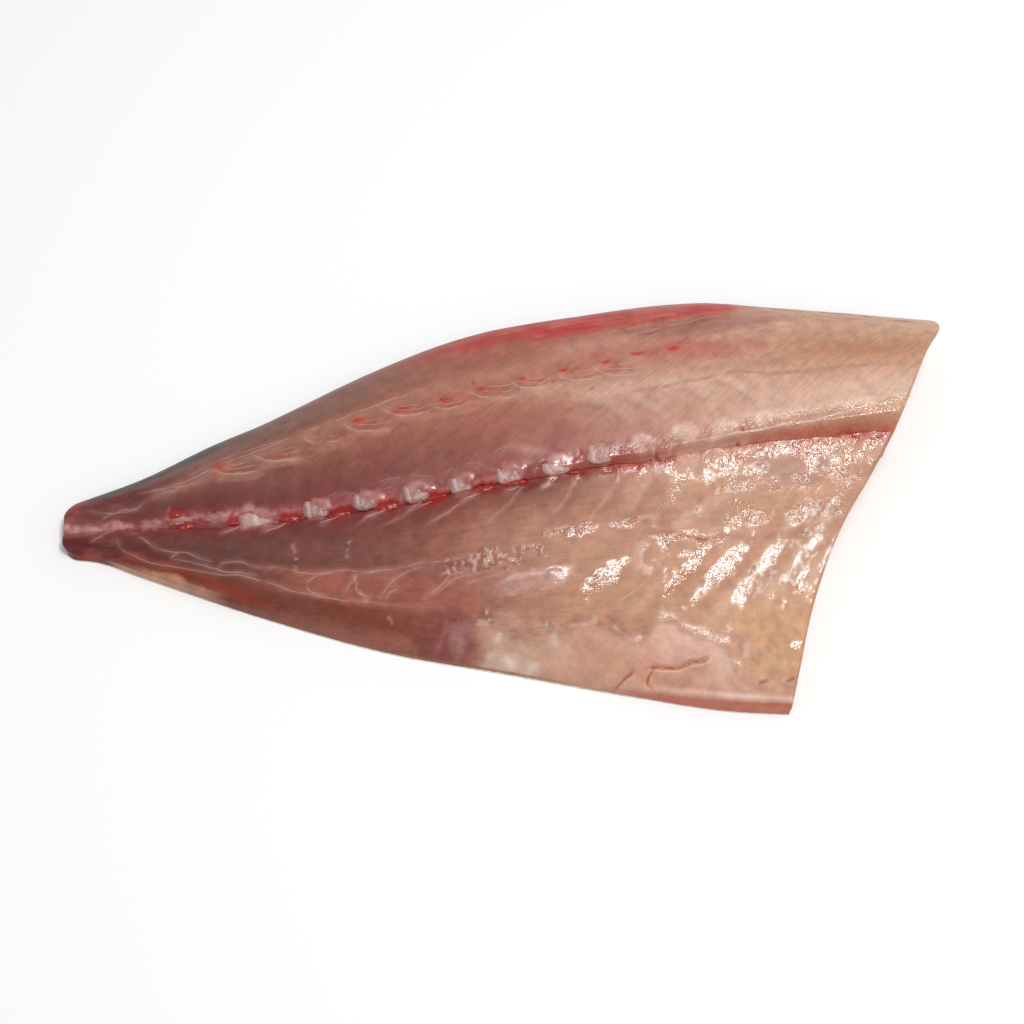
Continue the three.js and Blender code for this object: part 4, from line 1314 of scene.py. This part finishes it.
def gristle_material():
    """Half-clear gristle that melts into the flesh at its rim, with a bluish white plate."""
    material, tree, surface = new_material("vertebra gristle")
    place = object_place(tree)
    local = node(tree, "ShaderNodeSeparateXYZ", {"Vector": attribute(tree, "local", "Vector")}).outputs
    sunk = attribute(tree, "sunk")
    mottle = speckle(tree, place, 420.0, 4.0, 0.6)
    soft = speckle(tree, place, 230.0, 3.0, 0.6)
    body = mixed(tree, "MIX", mottle, (0.19, 0.062, 0.055, 1), (0.36, 0.158, 0.138, 1))
    body = mixed(tree, "MULTIPLY", 1.0, body, maths(tree, "MULTIPLY_ADD", sunk, 0.5, 1.0))
    creamy = maths(tree, "MULTIPLY", attribute(tree, "cream"), 0.8)
    body = mixed(tree, "MIX", creamy, body, (0.52, 0.37, 0.31, 1))
    from_plate = maths(tree, "ABSOLUTE", maths(tree, "ADD", local["X"], attribute(tree, "plate")))
    stripe = ramped(tree, swing(tree, mottle, 0.3, from_plate), 0.05, 0.21, 1.0, 0.0)
    plated = mixed(tree, "MIX", maths(tree, "MULTIPLY", stripe, 0.6), body, (0.62, 0.50, 0.56, 1))
    inside = ramped(tree, swing(tree, soft, 0.7, local["Z"]), 0.4, 0.95)
    rim = mixed(tree, "MIX", sunk, (0.30, 0.12, 0.108, 1), (0.5, 0.3, 0.24, 1))
    fill(surface, {"Base Color": mixed(tree, "MIX", inside, rim, plated),
                   "Normal": relief(tree, mottle, 0.4, 0.0005), "Roughness": 0.32,
                   "Subsurface Weight": 0.2, "Subsurface Scale": 0.0015,
                   "Subsurface Radius": (1.0, 0.6, 0.5), "IOR": 1.42})
    return material


# How far a stump's middle lies under the flesh around it, and its tilt, at the tail and in front.
STUMP_SUNK = (0.85, 1.15)
STUMP_TILT = (5, 9)
STUMP_TURN = 9
STUMP_HALF_HEIGHT = 1.5
# A stump narrower than this is lower as well.
STUMP_FULL_WIDTH = 4.4
# The place of a plate is a share of this part of the half length.
PLATE_REACH = 0.72

x, y, half_length, half_width, cream, plate = np.array(STUMPS[:STUMPS_STANDING]).T
small = np.minimum(1, half_width / STUMP_FULL_WIDTH)
z = loin_height(x, y + 1) - lerp(*STUMP_SUNK, rise(x, -100, 80)) + 0.5 * (1 - small)
sizes = np.stack([half_length, half_width, STUMP_HALF_HEIGHT * small], -1) / 1000
tilt = lerp(*STUMP_TILT, rise(x, -100, 100))
turns = np.radians(np.stack([tilt, np.zeros(len(x)), np.full(len(x), STUMP_TURN)], -1))
blocks = scattered_blocks()
stumps = grown("vertebra_stumps", blocks, np.stack([x, y, z], -1), [],
               {"size": sizes, "turn": turns, "cream": cream, "plate": PLATE_REACH * plate,
                "sunk": rise(x, -40, 60)},
               {"Squareness": 0.72, "Raggedness": 0.0007, "Lump size": 0.003, "Seed": 3.0,
                "Material": gristle_material()})
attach(stumps, "root")
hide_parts("fillet")

# ---------------------------------------------------------------------------------------------
# Blood lies in the slits between the stumps, where the knife opened the vessel under the spine:
# dark wet clots, each a thin lens that tilts up towards the shoulder.
# ---------------------------------------------------------------------------------------------


def clot_material():
    """Dark blood, clear red where it is thin."""
    material, tree, surface = new_material("clotted blood")
    depth = speckle(tree, object_place(tree), 330.0, 4.0, 0.6)
    fill(surface, {"Base Color": mixed(tree, "MIX", depth, (0.12, 0.004, 0.004, 1), (0.50, 0.05, 0.035, 1)),
                   "Normal": relief(tree, depth, 0.4, 0.0005), "Roughness": 0.25,
                   "Subsurface Weight": 0.2, "Subsurface Scale": 0.001, "IOR": 1.4})
    return material


CLOT_HALF_HEIGHT = 1.0
CLOT_SUNK = 0.45

x, y, half_length, half_width, turn = np.array(CLOTS).T
z = flesh_height(x, y) - CLOT_SUNK
sizes = np.stack([half_length, half_width, np.full(len(x), CLOT_HALF_HEIGHT)], -1) / 1000
turns = np.radians(np.stack([np.zeros(len(x)), np.zeros(len(x)), turn], -1))
clots = grown("blood_clots", blocks, np.stack([x, y, z], -1), [], {"size": sizes, "turn": turns},
              {"Squareness": 1.3, "Raggedness": 0.0007, "Lump size": 0.0022, "Seed": 8.0,
               "Material": clot_material()})
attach(clots, "root")
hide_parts("fillet")

# ---------------------------------------------------------------------------------------------
# Sinews are the white sheets between the flakes, cut edge on: hair-thin threads that lie in the
# surface and dip under it here and there. Geometry Nodes run a fine tube along each line.
# ---------------------------------------------------------------------------------------------


def tubes_on_lines():
    """Runs a tube along each line, as thick as the line's points say."""
    tree, given = group_tree("tubes on lines", [
        ("Sides", "NodeSocketInt"), ("Material", "NodeSocketMaterial")])
    path = node(tree, "GeometryNodeMeshToCurve", {"Mesh": given["Geometry"]}).outputs[0]
    profile = node(tree, "GeometryNodeCurvePrimitiveCircle", {"Radius": 1.0, "Resolution": given["Sides"]})
    tube = node(tree, "GeometryNodeCurveToMesh",
                {"Curve": path, "Profile Curve": profile.outputs[0], "Scale": named(tree, "thick"),
                 "Fill Caps": True})
    return finished(tree, tube.outputs[0], given["Material"])


def sinew_material():
    """White connective tissue, half clear, so it takes most of its colour from the flesh."""
    material, tree, surface = new_material("white sinew")
    mottle = speckle(tree, object_place(tree), 500.0, 4.0, 0.6)
    shade = maths(tree, "MULTIPLY_ADD", mottle, 0.5, 0.75)
    fill(surface, {"Base Color": mixed(tree, "MULTIPLY", 1.0, attribute(tree, "hue", "Color"), shade),
                   "Normal": relief(tree, mottle, 0.5, 0.0002), "Roughness": 0.5,
                   "Subsurface Weight": 0.25, "Subsurface Scale": 0.001})
    return material


# Each line with its half thickness in millimetres and how pale it is.
sinews = [(points, 0.45, 0.18) for points in BELLY_SEPTA]
sinews += [(points, 0.3, 0.14) for points in HOLLOW_SEPTA]
sinews += [(points, 0.45, 0.16) for points in TAIL_SINEWS]
sinews += [(points, 0.36, 0.16) for points in LOIN_WISPS]
# The crest's thread is made paler than the others, partly as a painted highlight.
sinews += [(BAND_LINE[:9], 0.45, 0.22), (CREST_LINE, 0.45, 0.6), (RIB_VALLEYS[-1][0], 0.4, 0.5)]
for i, (tip_x, tip_y) in enumerate(FOLD_TIPS):
    for arc, strength in FOLD_ARCS:
        arc_line = fold_arc(i, tip_x, tip_y, arc)
        sinews.append((arc_line, 0.26 + 0.16 * strength, 0.16 + 0.12 * strength))
for tear_x, tear_y in MEMBRANE_TEARS:
    rag = [(tear_x - back, tear_y - down) for back, down in ((0, 0), (4, 1.6), (9, 3.6), (13, 5.4))]
    sinews.append((rag, 0.38, 0.32))
# How far a thread dips under the surface here and there, and its depth as a share of its half.
THREAD_DIPS = 0.16
THREAD_SUNK = 0.76
THREAD_WHITE = linear(226, 194, 184)

line_points, edges = [], []
for line, half, pale in sinews:
    line = smooth_line(line, 10)
    stray_x, stray_y = wandering(*line.T)
    x, y = line[:, 0] - stray_x, line[:, 1] - stray_y
    along = np.linspace(0, 1, len(line))
    ends = np.minimum(1, np.minimum(along, 1 - along) * 4)
    first = sum(len(rows) for rows in line_points)
    line_points.append(np.stack([x, y, half * (0.3 + 0.7 * ends), pale * ends], -1))
    edges += [(first + k, first + k + 1) for k in range(len(line) - 1)]
x, y, half, pale = np.vstack(line_points).T
on_loin, on_belly = dress_loin(x, y), dress_belly(x, y)
upper = y > rib_root(x)
dips = THREAD_DIPS * (noise(x, y, 5, 400) - 0.1)
z = flesh_height(x, y) + np.where(upper, on_loin[0], on_belly[0]) - THREAD_SUNK * half - dips
hue = lerp(np.where(upper[:, None], on_loin[1], on_belly[1]), THREAD_WHITE, pale[:, None])
threads = grown("sinew_threads", tubes_on_lines(), np.stack([x, y, z], -1), edges,
                {"thick": half / 1000, "hue": hue}, {"Sides": 6, "Material": sinew_material()})
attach(threads, "root")
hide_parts("fillet")

# ---------------------------------------------------------------------------------------------
# The studio: a pale table, a bright soft sky and two round lamps overhead, whose reflections
# break up on the wet membrane, with the camera looking down on the flesh.
# ---------------------------------------------------------------------------------------------

TABLE_HALF = 4
corners = [(-1, -1), (1, -1), (1, 1), (-1, 1)]
floor_mesh = bpy.data.meshes.new("floor")
floor_mesh.from_pydata([(TABLE_HALF * x, TABLE_HALF * y, 0) for x, y in corners], [], [(0, 1, 2, 3)])
floor = placed("floor", floor_mesh)
material, tree, surface = new_material("pale table")
fill(surface, {"Base Color": (0.96, 0.96, 0.96, 1), "Roughness": 0.9})
floor_mesh.materials.append(material)

world = bpy.data.worlds.new("soft sky")
bpy.context.scene.world = world
world.use_nodes = True
fill(world.node_tree.nodes["Background"], {"Color": (1, 1, 1, 1), "Strength": 0.5})


def round_lamp(name, size, energy, place, tilt):
    """A round lamp, its size and place in metres, tilted from straight down by degrees."""
    data = bpy.data.lights.new(name, "AREA")
    data.shape = "DISK"
    data.size = size
    data.energy = energy
    lamp = placed(name, data)
    lamp.location = place
    lamp.rotation_euler = np.radians(tilt)


round_lamp("overhead lamp", 0.36, 12.2, (0.33, -0.07, 1.5), (0, 12, 0))
round_lamp("second lamp", 0.15, 2.0, (0.32, 0.43, 1.5), (-16, 12, 0))

camera_data = bpy.data.cameras.new("camera")
camera_data.lens = 70
camera_data.sensor_width = 36
camera = placed("camera", camera_data)
camera.location = (0.003, -0.3508, 0.8643)
camera.rotation_euler = (np.radians(22), 0, 0)
bpy.context.scene.camera = camera
bpy.context.scene.view_settings.view_transform = "Standard"
